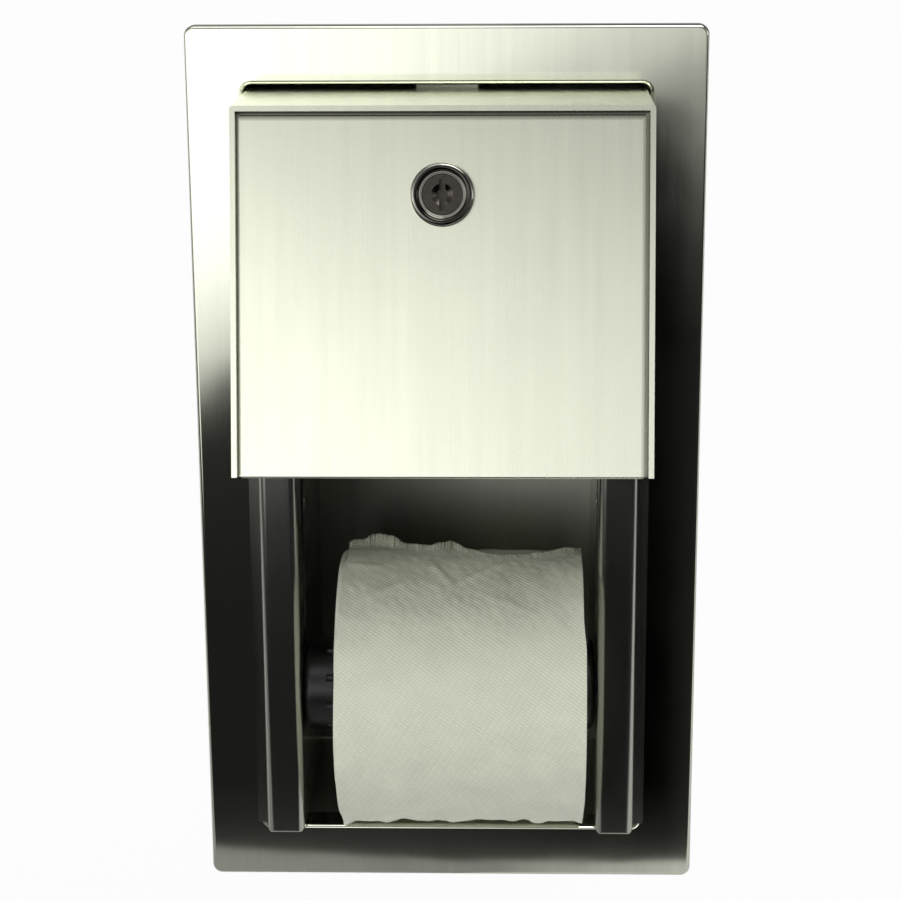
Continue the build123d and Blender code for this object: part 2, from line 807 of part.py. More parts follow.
def flutes(x_low, x_high, z):
    """Shallow grooves along a spindle."""
    cutters = []
    reach = spindle_radius + spindle_flute_offset
    for index in range(spindle_flutes):
        angle = 2 * math.pi * (index + 0.25) / spindle_flutes
        y = spindle_y + reach * math.cos(angle)
        cutters.append(rod(spindle_flute_radius, x_low, x_high, y, z + reach * math.sin(angle)))
    return cutters


def make_spindle_barrel(z):
    """Moulded tube of a spindle with one closed end and its trunnion."""
    left = -spindle_end_x
    right = spindle_end_x - spindle_end_wall
    tube = rod(spindle_radius, left, right, spindle_y, z)
    tube = fillet(tube.edges().filter_by(GeomType.CIRCLE).sort_by(Axis.X)[0], spindle_end_radius)
    for cutter in flutes(left + spindle_flute_start, right + cut_extra, z):
        tube -= cutter
    tube -= rod(
        spindle_radius - spindle_wall, left + spindle_end_wall, right + cut_extra, spindle_y, z
    )
    trunnion = rod(trunnion_radius, left - trunnion_reach, left + fuse_overlap, spindle_y, z)
    end = trunnion.edges().filter_by(GeomType.CIRCLE).sort_by(Axis.X)[0]
    trunnion = chamfer(end, trunnion_chamfer)
    return tube + trunnion


def make_spindle_plug(z):
    """Pressed-in end of a spindle with the other trunnion."""
    right = spindle_end_x
    shoulder = right - spindle_end_wall
    spigot_radius = spindle_radius - spindle_wall
    disc_end = rod(spindle_radius, shoulder, right, spindle_y, z)
    rim = disc_end.edges().filter_by(GeomType.CIRCLE).sort_by(Axis.X)[-1]
    disc_end = fillet(rim, spindle_end_radius)
    spigot_low = shoulder - spindle_plug_reach
    bore_radius = spigot_radius - spindle_spigot_wall
    spigot = rod(spigot_radius, spigot_low, shoulder, spindle_y, z)
    spigot -= rod(bore_radius, spigot_low - cut_extra, shoulder, spindle_y, z)
    trunnion = rod(trunnion_radius, right - fuse_overlap, right + trunnion_reach, spindle_y, z)
    end = trunnion.edges().filter_by(GeomType.CIRCLE).sort_by(Axis.X)[-1]
    trunnion = chamfer(end, trunnion_chamfer)
    return disc_end + spigot + trunnion


def make_core(z, shift):
    """Cardboard tube inside a roll."""
    half = roll_width / 2
    tube = rod(core_outer_radius, shift - half, shift + half, spindle_y, z)
    return tube - rod(core_inner_radius, shift - half - cut_extra, shift + half + cut_extra, spindle_y, z)


def roll_section(shift):
    """Half section of the wound paper: soft outer edges and slightly dished ends."""
    left = shift - roll_width / 2
    right = shift + roll_width / 2
    inner = core_outer_radius + running_clearance
    middle = (inner + roll_radius) / 2
    shoulder = roll_radius - roll_edge_radius
    crown_left = left + roll_edge_radius
    crown_right = right - roll_edge_radius
    return make_face(
        [
            Line((left, inner), (right, inner)),
            ThreePointArc((right, inner), (right - roll_dish, middle), (right, shoulder)),
            RadiusArc((crown_right, roll_radius), (right, shoulder), roll_edge_radius),
            Line((crown_left, roll_radius), (crown_right, roll_radius)),
            RadiusArc((left, shoulder), (crown_left, roll_radius), roll_edge_radius),
            ThreePointArc((left, inner), (left + roll_dish, middle), (left, shoulder)),
        ]
    )


def make_tissue(z, shift):
    """Wound paper with the loose end of its outer sheet lying over the front."""
    roll = revolve(roll_section(shift), axis=Axis.X)
    edge = roll_width / 2 - roll_edge_radius
    low = roll_radius - fuse_overlap
    high = roll_radius + sheet_thickness
    corners = [(shift - edge, low), (shift + edge, low), (shift + edge, high), (shift - edge, high)]
    strip = make_face(Polyline(*corners, close=True))
    sheet = revolve(strip, axis=Axis.X, revolution_arc=sheet_end_angle - sheet_start_angle)
    sheet = Rot(sheet_start_angle, 0, 0) * sheet
    return Pos(0, spindle_y, z) * (roll + sheet)


def save(name, solid):
    """Write one piece."""
    export_step(solid, f"parts/{name}.step")


def main():
    """Build every piece and write it."""
    os.makedirs("parts", exist_ok=True)
    track = make_track()
    rocker = make_rocker()
    low = spindle_low_z
    high = spindle_high_z
    pieces = {
        "flange": make_flange(),
        "cabinet_wrap": make_cabinet_wrap(),
        "cabinet_top": make_cabinet_top(),
        "cabinet_bottom": make_cabinet_bottom(),
        "right_track": track,
        "left_track": mirrored(track),
        "track_rivets": make_track_rivets(),
        "lock_keeper": make_keeper(),
        "keeper_rivets": make_keeper_rivets(),
        "hood_pivot_pins": make_pivot_pins(),
        "hood_pivot_washers": make_pivot_washers(),
        "hood_stop_pins": make_stop_pins(),
        "rocker_pins": make_rocker_pins(),
        "right_rocker": rocker,
        "left_rocker": mirrored(rocker),
        "hood_wrap": make_hood_wrap(),
        "hood_front": make_hood_front(),
        "lock_body": make_lock_body(),
        "lock_nut": make_lock_nut(),
        "lock_plug": make_lock_plug(),
        "lock_cam": make_lock_cam(),
        "lock_cam_screw": make_lock_screw(),
        "lower_spindle_barrel": make_spindle_barrel(low),
        "lower_spindle_plug": make_spindle_plug(low),
        "reserve_spindle_barrel": make_spindle_barrel(high),
        "reserve_spindle_plug": make_spindle_plug(high),
        "lower_core": make_core(low, lower_roll_shift),
        "lower_tissue": make_tissue(low, lower_roll_shift),
        "reserve_core": make_core(high, 0),
        "reserve_tissue": make_tissue(high, 0),
    }
    for name, solid in pieces.items():
        save(name, solid)
    axis = lock_axis()
    place = lock_place().position
    print("lock axis", [round(value, 4) for value in axis], "at", place)
    print("hood pivot", hood_pivot_y, hood_pivot_z)


main()
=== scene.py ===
# Looks for a recessed toilet tissue dispenser: satin steel flange and hood, bright posts,
# a black spindle and a soft embossed roll. Metres, +Z up, +Y into the wall.
import math

import bpy
import numpy as np
from mathutils import Matrix


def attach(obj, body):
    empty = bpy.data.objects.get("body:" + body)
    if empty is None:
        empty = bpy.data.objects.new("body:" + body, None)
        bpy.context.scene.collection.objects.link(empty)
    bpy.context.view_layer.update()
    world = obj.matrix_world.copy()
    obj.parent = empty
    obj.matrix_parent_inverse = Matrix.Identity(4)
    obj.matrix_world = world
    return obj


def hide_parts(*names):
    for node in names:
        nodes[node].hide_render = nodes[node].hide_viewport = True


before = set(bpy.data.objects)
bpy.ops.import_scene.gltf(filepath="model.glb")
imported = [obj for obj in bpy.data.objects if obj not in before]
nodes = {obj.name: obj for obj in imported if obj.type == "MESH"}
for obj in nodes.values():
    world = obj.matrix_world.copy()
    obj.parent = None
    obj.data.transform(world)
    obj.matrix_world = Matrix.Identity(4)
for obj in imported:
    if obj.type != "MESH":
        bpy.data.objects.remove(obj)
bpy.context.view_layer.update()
scene = bpy.context.scene


def addNode(tree, kind, feeds=None, **settings):
    # One shader node; a feed is either a socket to link or a value to set.
    made = tree.nodes.new(kind)
    for name, value in settings.items():
        setattr(made, name, value)
    for key, value in (feeds or {}).items():
        socket = made.inputs[key]
        if isinstance(value, bpy.types.NodeSocket):
            tree.links.new(value, socket)
        else:
            socket.default_value = value
    return made


def mathNode(tree, operation, *values):
    # One sum over sockets or plain numbers.
    made = addNode(tree, "ShaderNodeMath", {i: v for i, v in enumerate(values)}, operation=operation)
    return made.outputs[0]


def remap(tree, value, fromLow, fromHigh, toLow, toHigh):
    # A straight run from one range to another, held at its ends.
    feeds = {"Value": value, "From Min": fromLow, "From Max": fromHigh, "To Min": toLow, "To Max": toHigh}
    return addNode(tree, "ShaderNodeMapRange", feeds).outputs["Result"]


def mixColour(tree, factor, first, second):
    made = addNode(tree, "ShaderNodeMix", {0: factor, 6: first, 7: second}, data_type="RGBA")
    return made.outputs[2]


def bumpNode(tree, height, distance, strength=1.0, normal=None):
    # Tips the normal by a height over a distance in metres; it can stand on another bump.
    feeds = {"Height": height, "Distance": distance, "Strength": strength}
    if normal is not None:
        feeds["Normal"] = normal
    return addNode(tree, "ShaderNodeBump", feeds).outputs["Normal"]


def newGroup(name, inputs, outputs):
    # Empty shader group with named sockets: (name, kind, default).
    tree = bpy.data.node_groups.new(name, "ShaderNodeTree")
    for label, kind, default in inputs:
        socket = tree.interface.new_socket(label, in_out="INPUT", socket_type=kind)
        if default is not None:
            socket.default_value = default
    for label, kind in outputs:
        tree.interface.new_socket(label, in_out="OUTPUT", socket_type=kind)
    source = tree.nodes.new("NodeGroupInput")
    sink = tree.nodes.new("NodeGroupOutput")
    return tree, source.outputs, sink.inputs


def useGroup(tree, group, feeds):
    made = addNode(tree, "ShaderNodeGroup", node_tree=group)
    for key, value in feeds.items():
        socket = made.inputs[key]
        if isinstance(value, bpy.types.NodeSocket):
            tree.links.new(value, socket)
        else:
            socket.default_value = value
    return made.outputs


def newMaterial(name, **constants):
    # Principled material; constants are set on the shader's own sockets.
    material = bpy.data.materials.new(name)
    material.use_nodes = True
    tree = material.node_tree
    tree.nodes.clear()
    shader = tree.nodes.new("ShaderNodeBsdfPrincipled")
    output = tree.nodes.new("ShaderNodeOutputMaterial")
    tree.links.new(shader.outputs["BSDF"], output.inputs["Surface"])
    for key, value in constants.items():
        shader.inputs[key].default_value = value
    return material, tree, shader


def objectPoint(tree):
    return addNode(tree, "ShaderNodeTexCoord").outputs["Object"]


def splitPoint(tree, vector):
    # The three places of a vector, each on a socket of its own.
    return addNode(tree, "ShaderNodeSeparateXYZ", {0: vector}).outputs


def scaleVector(tree, vector, factors):
    return addNode(tree, "ShaderNodeVectorMath", {0: vector, 1: factors}, operation="MULTIPLY").outputs[0]


def noiseField(tree, vector, scale, detail, distortion=0.0):
    feeds = {"Vector": vector, "Scale": scale, "Detail": detail, "Distortion": distortion}
    return addNode(tree, "ShaderNodeTexNoise", feeds).outputs["Fac"]


def shiftTint(tint, share, extra=0.0):
    # The same hue, darker or lighter, as a colour with full cover.
    return tuple(min(value * share + extra, 1.0) for value in tint[:3]) + (1.0,)


grainLook = {
    "broadShare": (0.11, 0.11, 0.3),  # scale of the broad streaks, against the fine lines
    "fineDetail": 2.0,
    "broadDetail": 3.0,
}


def makeGrainGroup():
    # Brushed sheet: noise squeezed across the grain and drawn out along it. Fine lines and broad streaks.
    tree, source, sink = newGroup(
        "brushedGrain",
        [("Point", "NodeSocketVector", None), ("Squeeze", "NodeSocketVector", None)],
        [("Fine", "NodeSocketFloat"), ("Broad", "NodeSocketFloat")],
    )
    fineSpace = scaleVector(tree, source["Point"], source["Squeeze"])
    broadSpace = scaleVector(tree, fineSpace, grainLook["broadShare"])
    tree.links.new(noiseField(tree, fineSpace, 1.0, grainLook["fineDetail"]), sink["Fine"])
    tree.links.new(noiseField(tree, broadSpace, 1.0, grainLook["broadDetail"]), sink["Broad"])
    return tree


def makeSmudgeGroup():
    # Handling marks: soft clouds.
    tree, source, sink = newGroup(
        "handlingMarks",
        [("Point", "NodeSocketVector", None), ("Size", "NodeSocketFloat", 14.0)],
        [("Cloud", "NodeSocketFloat")],
    )
    cloud = noiseField(tree, source["Point"], source["Size"], 3.0, 0.8)
    tree.links.new(remap(tree, cloud, 0.35, 0.7, 0.0, 1.0), sink["Cloud"])
    return tree


embossLook = {
    "pitch": 0.0021,  # distance between embossed rows
    "rowSlant": 1.35,
    "dotSlant": (0.75, 0.45),
    "wobbleScale": 130.0,
    "wobble": 1.2,  # phase shift either way
    "fibreScale": 2600.0,
}


def makeEmbossGroup():
    # Quilted tissue: slanting rows of small raised dots and a fine fibre noise, on the sheet's UV in metres.
    # Height of the rows: (sin(along) + 0.6) * (0.5 sin(across) + 0.8).
    tree, source, sink = newGroup(
        "tissueEmboss",
        [("Sheet", "NodeSocketVector", None), ("Pitch", "NodeSocketFloat", embossLook["pitch"])],
        [("Rows", "NodeSocketFloat"), ("Fibre", "NodeSocketFloat")],
    )
    u, v, _ = splitPoint(tree, source["Sheet"])
    turn = mathNode(tree, "DIVIDE", 2 * math.pi, source["Pitch"])
    wobble = noiseField(tree, source["Sheet"], embossLook["wobbleScale"], 1.0)
    shift = remap(tree, wobble, 0.0, 1.0, -embossLook["wobble"], embossLook["wobble"])
    slanted = mathNode(tree, "SUBTRACT", u, mathNode(tree, "MULTIPLY", v, embossLook["rowSlant"]))
    along = mathNode(tree, "MULTIPLY", slanted, turn)
    byU, byV = embossLook["dotSlant"]
    crossed = mathNode(tree, "ADD", mathNode(tree, "MULTIPLY", u, byU), mathNode(tree, "MULTIPLY", v, byV))
    across = mathNode(tree, "MULTIPLY", crossed, turn)
    rows = mathNode(tree, "SINE", mathNode(tree, "ADD", along, shift))
    dots = mathNode(tree, "SINE", mathNode(tree, "ADD", across, shift))
    dotHeight = mathNode(tree, "ADD", mathNode(tree, "MULTIPLY", dots, 0.5), 0.8)
    product = mathNode(tree, "MULTIPLY", mathNode(tree, "ADD", rows, 0.6), dotHeight)
    tree.links.new(remap(tree, product, -0.6, 2.1, 0.0, 1.0), sink["Rows"])
    tree.links.new(noiseField(tree, source["Sheet"], embossLook["fibreScale"], 3.0), sink["Fibre"])
    return tree


grainGroup = makeGrainGroup()
smudgeGroup = makeSmudgeGroup()
embossGroup = makeEmbossGroup()


steelLook = {
    "upright": (2600.0, 2600.0, 22.0),  # grain's scale along X, Y and Z
    "leaning": (1700.0, 25.0, 22.0),  # the panel leans, so its grain barely changes with depth
    "streakShare": 0.94,  # how dark the broad streaks are
    "stainShare": 0.93,  # how dark the handling marks are
    "markSize": 16.0,
    "markRoughness": 0.05,
    "waveScale": 30.0,
    "grainDepth": 0.00001,
    "grainStrength": 0.045,
}


def makeSteel(name, tint, squeeze, rough, spread, marks, anisotropy=0.85, wave=0.0, shaded=None):
    # Brushed sheet: the grain tips the normal across itself; marks dull and darken it in soft clouds.
    # A slow wave in the sheet bends what it mirrors. Reflections spread along the object's own X.
    material, tree, shader = newMaterial(name, Metallic=1.0, Anisotropic=anisotropy)
    point = objectPoint(tree)
    spaces = {"vector_type": "VECTOR", "convert_from": "OBJECT", "convert_to": "WORLD"}
    acrossGrain = addNode(tree, "ShaderNodeVectorTransform", {0: (1.0, 0.0, 0.0)}, **spaces)
    tree.links.new(acrossGrain.outputs[0], shader.inputs["Tangent"])
    grain = useGroup(tree, grainGroup, {"Point": point, "Squeeze": squeeze})
    smudge = useGroup(tree, smudgeGroup, {"Point": point, "Size": steelLook["markSize"]})
    streaked = shiftTint(tint, steelLook["streakShare"])
    colour = mixColour(tree, remap(tree, grain["Broad"], 0.3, 0.7, 0.0, 1.0), streaked, tint)
    stained = shiftTint(tint, steelLook["stainShare"])
    colour = mixColour(tree, mathNode(tree, "MULTIPLY", smudge["Cloud"], marks), colour, stained)
    # painted shade: the shaded mask mixes in the dark corner colour
    if shaded:
        colour = mixColour(tree, shaded(tree, point), colour, panelLook["corner"])
    tree.links.new(colour, shader.inputs["Base Color"])
    gritty = remap(tree, grain["Fine"], 0.25, 0.75, rough - spread, rough + spread)
    dulled = mathNode(tree, "MULTIPLY", smudge["Cloud"], marks * steelLook["markRoughness"])
    tree.links.new(mathNode(tree, "ADD", gritty, dulled), shader.inputs["Roughness"])
    slow = noiseField(tree, point, steelLook["waveScale"], 1.0)
    bent = bumpNode(tree, slow, wave, 1.0)
    brushed = bumpNode(tree, grain["Fine"], steelLook["grainDepth"], steelLook["grainStrength"], bent)
    tree.links.new(brushed, shader.inputs["Normal"])
    return material


panelLook = {
    "corner": (0.075, 0.071, 0.058, 1.0),  # painted shadow colour: dark band in the step beside the hood's edges, also the painted shade over the recess's left
    "top": (0.1488, 0.1464),  # heights between which it fades
    "right": (0.0752, 0.0722),  # places across between which it fades
    "left": (-0.0752, -0.0741),
    "falloff": 0.7,
}


def panelShade(tree, point):
    # Painted shadow on the panel under the top edge and beside the side edges: the greatest of three soft
    # bands.
    x, _, z = splitPoint(tree, point)
    under = remap(tree, z, panelLook["top"][1], panelLook["top"][0], 0.0, 1.0)
    right = remap(tree, x, panelLook["right"][1], panelLook["right"][0], 0.0, 1.0)
    left = remap(tree, x, panelLook["left"][1], panelLook["left"][0], 0.0, 1.0)
    beside = mathNode(tree, "MAXIMUM", right, left)
    return mathNode(tree, "POWER", mathNode(tree, "MAXIMUM", under, beside), panelLook["falloff"])


cabinetLook = {
    "shadeFrom": -0.045,  # across the recess: painted shade on the left, gone by shadeTo
    "shadeTo": 0.018,
    "shadeMost": 0.88,
    "halfInside": (0.0783, 0.0915, 0.1540),  # the painted shade stays within: half across, depth, half height
}


def cabinetShade(tree, point):
    # Painted shade over the left of the recess, a straight fade across it, nothing on the outer faces.
    x, y, z = splitPoint(tree, point)
    paintedShade = remap(tree, x, cabinetLook["shadeFrom"], cabinetLook["shadeTo"], cabinetLook["shadeMost"], 0.0)
    halfAcross, depth, halfHeight = cabinetLook["halfInside"]
    within = mathNode(tree, "LESS_THAN", mathNode(tree, "ABSOLUTE", x), halfAcross)
    within = mathNode(tree, "MULTIPLY", within, mathNode(tree, "LESS_THAN", y, depth))
    inHeight = mathNode(tree, "LESS_THAN", mathNode(tree, "ABSOLUTE", z), halfHeight)
    within = mathNode(tree, "MULTIPLY", within, inHeight)
    return mathNode(tree, "MULTIPLY", paintedShade, within)


steelFinishes = {
    "flangeSteel": {
        "tint": (0.76, 0.775, 0.655, 1.0), "squeeze": steelLook["upright"],
        "rough": 0.062, "spread": 0.006, "marks": 0.5, "anisotropy": 0.5, "wave": 0.00006,
    },
    "hoodSteel": {
        "tint": (0.80, 0.82, 0.68, 1.0), "squeeze": steelLook["upright"],
        "rough": 0.25, "spread": 0.015, "marks": 0.5, "wave": 0.00002,
    },
    "panelSteel": {
        "tint": (0.80, 0.82, 0.68, 1.0), "squeeze": steelLook["leaning"],
        "rough": 0.25, "spread": 0.015, "marks": 0.5, "wave": 0.00002, "shaded": panelShade,
    },
    "cabinetSteel": {
        "tint": (0.70, 0.71, 0.63, 1.0), "squeeze": steelLook["upright"],
        "rough": 0.42, "spread": 0.02, "marks": 0.6, "anisotropy": 0.3, "shaded": cabinetShade,
    },
    "trackSteel": {
        "tint": (0.56, 0.56, 0.51, 1.0), "squeeze": steelLook["upright"],
        "rough": 0.18, "spread": 0.015, "marks": 0.6, "wave": 0.00003,
    },
}
steels = {name: makeSteel(name, **values) for name, values in steelFinishes.items()}


rivetLook = {
    "tint": (0.60, 0.60, 0.57, 1.0),
    "rough": 0.32,
    "roughSpread": 0.06,
    "pitScale": 900.0,
    "pitDepth": 0.00003,
}


def makePlainMetal(name, look):
    # Small turned or pressed parts: tumbled finish with fine pitting.
    material, tree, shader = newMaterial(name, Metallic=1.0)
    pits = noiseField(tree, objectPoint(tree), look["pitScale"], 3.0)
    colour = mixColour(tree, pits, shiftTint(look["tint"], 0.8), look["tint"])
    tree.links.new(colour, shader.inputs["Base Color"])
    smooth, coarse = look["rough"] - look["roughSpread"], look["rough"] + look["roughSpread"]
    tree.links.new(remap(tree, pits, 0.3, 0.7, smooth, coarse), shader.inputs["Roughness"])
    tree.links.new(bumpNode(tree, pits, look["pitDepth"], 0.3), shader.inputs["Normal"])
    return material


rivetSteel = makePlainMetal("rivetSteel", rivetLook)


lockLook = {
    "centre": (0.0, -0.062933, 0.1204),  # on the hood's front panel
    "slope": math.radians(11.56),  # the panel leans back by this much
    "ringPitch": 0.0010,  # distance between turned rings
    "oxide": (0.050, 0.046, 0.040, 1.0),  # painted dark reflection on the flat of the bezel
    "paintedDarkFrom": (0.0086, 0.0088),  # reaches from the axis between which it sets in
    "oxideTo": (0.0103, 0.0107),  # and ends
    "dustScale": 500.0,
}


def makeTurnedChrome(name, tint, ringDepth, rough):
    # Concentric rings: the height is the sine of the distance from the lock's axis.
    material, tree, shader = newMaterial(name, Metallic=1.0)
    centring = {"Vector": objectPoint(tree), "Location": tuple(-value for value in lockLook["centre"])}
    centred = addNode(tree, "ShaderNodeMapping", centring).outputs[0]
    turning = {"Vector": centred, "Rotation": (lockLook["slope"], 0.0, 0.0)}
    turned = addNode(tree, "ShaderNodeMapping", turning).outputs[0]
    flat = scaleVector(tree, turned, (1.0, 0.0, 1.0))
    reach = addNode(tree, "ShaderNodeVectorMath", {0: flat}, operation="LENGTH").outputs["Value"]
    rings = mathNode(tree, "SINE", mathNode(tree, "MULTIPLY", reach, 2 * math.pi / lockLook["ringPitch"]))
    dust = noiseField(tree, objectPoint(tree), lockLook["dustScale"], 3.0)
    # painted dark reflection: a dark band over the bezel's flat, between the two reaches
    inside = remap(tree, reach, *lockLook["oxideTo"], 1.0, 0.0)
    outside = remap(tree, reach, *lockLook["paintedDarkFrom"], 0.0, 1.0)
    clean = mixColour(tree, dust, shiftTint(tint, 0.72), tint)
    darkPainted = mixColour(tree, mathNode(tree, "MULTIPLY", inside, outside), clean, lockLook["oxide"])
    tree.links.new(darkPainted, shader.inputs["Base Color"])
    tree.links.new(remap(tree, dust, 0.3, 0.7, rough - 0.03, rough + 0.05), shader.inputs["Roughness"])
    tree.links.new(bumpNode(tree, rings, ringDepth, 0.6), shader.inputs["Normal"])
    return material


lockFinishes = {
    "bezelChrome": {"tint": (0.42, 0.41, 0.37, 1.0), "ringDepth": 0.0000005, "rough": 0.05},
    "plugChrome": {"tint": (0.085, 0.076, 0.066, 1.0), "ringDepth": 0.000003, "rough": 0.16},
}
chromes = {name: makeTurnedChrome(name, **values) for name, values in lockFinishes.items()}


plasticLook = {
    "peelScale": 700.0,
    "dustSize": 40.0,
    "dustRoughness": 0.12,
}


def makePlastic(name, tint, rough, bumpDepth):
    # Moulded plastic: faint orange peel and dusty patches.
    material, tree, shader = newMaterial(name, IOR=1.5)
    point = objectPoint(tree)
    peel = noiseField(tree, point, plasticLook["peelScale"], 2.0)
    dust = useGroup(tree, smudgeGroup, {"Point": point, "Size": plasticLook["dustSize"]})["Cloud"]
    tree.links.new(mixColour(tree, dust, tint, shiftTint(tint, 1.6, 0.003)), shader.inputs["Base Color"])
    dulled = remap(tree, dust, 0.0, 1.0, rough, rough + plasticLook["dustRoughness"])
    tree.links.new(dulled, shader.inputs["Roughness"])
    tree.links.new(bumpNode(tree, peel, bumpDepth, 0.4), shader.inputs["Normal"])
    return material


plasticFinishes = {
    "spindlePlastic": {"tint": (0.004, 0.004, 0.004, 1.0), "rough": 0.30, "bumpDepth": 0.00004},
    "nylon": {"tint": (0.78, 0.78, 0.74, 1.0), "rough": 0.45, "bumpDepth": 0.00002},
}
plastics = {name: makePlastic(name, **values) for name, values in plasticFinishes.items()}


rollPlaces = {
    "depth": 0.005,  # both rolls' axis, into the wall from its face
    "lower": -0.0945,  # heights of the two axes
    "reserve": 0.056,
}


boardLook = {
    "fibreScale": 420.0,
    "seamTurn": 110.0,  # radians of the wound strip's seam to a metre
    "dark": (0.34, 0.29, 0.23, 1.0),
    "light": (0.52, 0.46, 0.38, 1.0),
    "seam": (0.24, 0.20, 0.16, 1.0),
    "seamFrom": 0.94,  # how high on its sine the seam begins
    "fibreDepth": 0.00012,
}


def makeBoard():
    # Core board: grey-brown fibres with slanting seams, where the sine of angle plus place across peaks.
    material, tree, shader = newMaterial("coreBoard", Roughness=0.9)
    point = objectPoint(tree)
    fibre = noiseField(tree, point, boardLook["fibreScale"], 5.0)
    x, y, z = splitPoint(tree, point)
    up = mathNode(tree, "ADD", z, -rollPlaces["lower"])
    around = mathNode(tree, "ARCTAN2", up, mathNode(tree, "SUBTRACT", y, rollPlaces["depth"]))
    wound = mathNode(tree, "ADD", mathNode(tree, "MULTIPLY", x, boardLook["seamTurn"]), around)
    seam = mathNode(tree, "SINE", wound)
    edge = remap(tree, seam, boardLook["seamFrom"], 1.0, 0.0, 1.0)
    colour = mixColour(tree, fibre, boardLook["dark"], boardLook["light"])
    tree.links.new(mixColour(tree, edge, colour, boardLook["seam"]), shader.inputs["Base Color"])
    tree.links.new(bumpNode(tree, fibre, boardLook["fibreDepth"], 0.5), shader.inputs["Normal"])
    return material


coreBoard = makeBoard()


tissueLook = {
    "paper": (0.80, 0.82, 0.67, 1.0),
    "shade": (0.65, 0.665, 0.545, 1.0),
    "layerShade": (0.60, 0.615, 0.50, 1.0),
    "depth": 0.00022,
    "rowShare": 0.55,  # rows and soft clouds in the light and shade
    "softShare": 0.45,
    "softScale": 60.0,
    "toneRange": (0.25, 0.7),
    "fibreShare": 0.35,  # fibres in the height, against the rows
    "layerScale": (1800.0, 14.0, 1.0),  # outward from the axis and along the circle
    "layerDepth": 0.0004,
}


def sheetPlace(tree):
    return addNode(tree, "ShaderNodeUVMap", uv_map="sheet").outputs["UV"]


def makeSheetPaper():
    # Soft paper: embossed rows and fibres in the height, their tops lighter than the furrows.
    softness = {"Sheen Weight": 0.25, "Sheen Roughness": 0.6}
    material, tree, shader = newMaterial("sheetPaper", Roughness=0.95, **softness)
    sheetSpace = sheetPlace(tree)
    emboss = useGroup(tree, embossGroup, {"Sheet": sheetSpace, "Pitch": embossLook["pitch"]})
    clouds = noiseField(tree, sheetSpace, tissueLook["softScale"], 3.0)
    soft = mathNode(tree, "MULTIPLY", clouds, tissueLook["softShare"])
    # painted shade: the furrows between embossed rows are darker than their tops, mixed with soft clouds of
    # random tone
    tone = mathNode(tree, "ADD", mathNode(tree, "MULTIPLY", emboss["Rows"], tissueLook["rowShare"]), soft)
    light = remap(tree, tone, *tissueLook["toneRange"], 0.0, 1.0)
    colour = mixColour(tree, light, tissueLook["shade"], tissueLook["paper"])
    tree.links.new(colour, shader.inputs["Base Color"])
    fibres = mathNode(tree, "MULTIPLY", emboss["Fibre"], tissueLook["fibreShare"])
    height = mathNode(tree, "ADD", emboss["Rows"], fibres)
    tree.links.new(bumpNode(tree, height, tissueLook["depth"], 0.6), shader.inputs["Normal"])
    return material


def makeEndPaper():
    # Ends of the roll: the edges of the wound layers, rings of uneven height round the spindle's axis.
    softness = {"Sheen Weight": 0.2, "Sheen Roughness": 0.6}
    material, tree, shader = newMaterial("endPaper", Roughness=0.95, **softness)
    layers = noiseField(tree, scaleVector(tree, sheetPlace(tree), tissueLook["layerScale"]), 1.0, 3.0)
    # painted shade: the lower rings of the wound layers are darker, following the same noise as their height
    light = remap(tree, layers, 0.3, 0.7, 0.0, 1.0)
    colour = mixColour(tree, light, tissueLook["layerShade"], tissueLook["paper"])
    tree.links.new(colour, shader.inputs["Base Color"])
    tree.links.new(bumpNode(tree, layers, tissueLook["layerDepth"], 0.6), shader.inputs["Normal"])
    return material


sheetPaper = makeSheetPaper()
endPaper = makeEndPaper()


def smoothNoise(first, second, seed, waves, lowest, highest):
    # Sum of plane waves with random directions and phases: the same smooth noise on any grid.
    rng = np.random.default_rng(seed)
    total = np.zeros(np.broadcast(first, second).shape)
    turns = rng.uniform(0, 2 * np.pi, waves)
    pitches = rng.uniform(lowest, highest, waves)
    phases = rng.uniform(0, 2 * np.pi, waves)
    for turn, pitch, phase in zip(turns, pitches, phases):
        total += np.sin(2 * np.pi * pitch * (first * np.cos(turn) + second * np.sin(turn)) + phase)
    return total / math.sqrt(waves)


def gridFaces(rows, columns, closed=False):
    # Quads between neighbours of a grid of rows by columns, wrapped both ways if it closes.
    rowCount = rows if closed else rows - 1
    columnCount = columns if closed else columns - 1
    row, column = np.meshgrid(np.arange(rowCount), np.arange(columnCount), indexing="ij")
    nextRow = (row + 1) % rows
    nextColumn = (column + 1) % columns
    corners = [(row, column), (row, nextColumn), (nextRow, nextColumn), (nextRow, column)]
    return np.stack([atRow * columns + atColumn for atRow, atColumn in corners], axis=-1).reshape(-1, 4)


def buildMesh(name, points, quads, uv, material, body):
    # Mesh from whole arrays: places, quads and one UV pair for each vertex.
    mesh = bpy.data.meshes.new(name)
    mesh.vertices.add(len(points))
    mesh.vertices.foreach_set("co", points.astype(np.float32).ravel())
    mesh.loops.add(quads.size)
    mesh.loops.foreach_set("vertex_index", quads.astype(np.int32).ravel())
    mesh.polygons.add(len(quads))
    mesh.polygons.foreach_set("loop_start", np.arange(0, quads.size, 4, dtype=np.int32))
    mesh.update(calc_edges=True)
    mesh.polygons.foreach_set("use_smooth", np.ones(len(quads), dtype=bool))
    layer = mesh.uv_layers.new(name="sheet")
    layer.data.foreach_set("uv", uv[quads.ravel()].astype(np.float32).ravel())
    mesh.validate()
    mesh.materials.append(material)
    made = bpy.data.objects.new(name, mesh)
    scene.collection.objects.link(made)
    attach(made, body)
    return made


rollLook = {
    "radius": 0.0556,
    "coreRadius": 0.02035,
    "edgeRounding": 0.0026,
    "lumps": 0.00035,  # unevenness of the wound surface
    "lumpSides": 2.0,  # how fast the lumps change round the roll
    "lumpPitch": 60.0,  # and along it
    "layerPitch": 900.0,  # wound layers at the ends, outward from the axis
    "layerSides": 1.5,
    "layerDepth": 0.00018,
    "endDish": 0.0010,
    "turns": 260,
    "endRings": 34,
    "crownRings": 70,
    "bendRings": 7,
    "boreRings": 12,
}


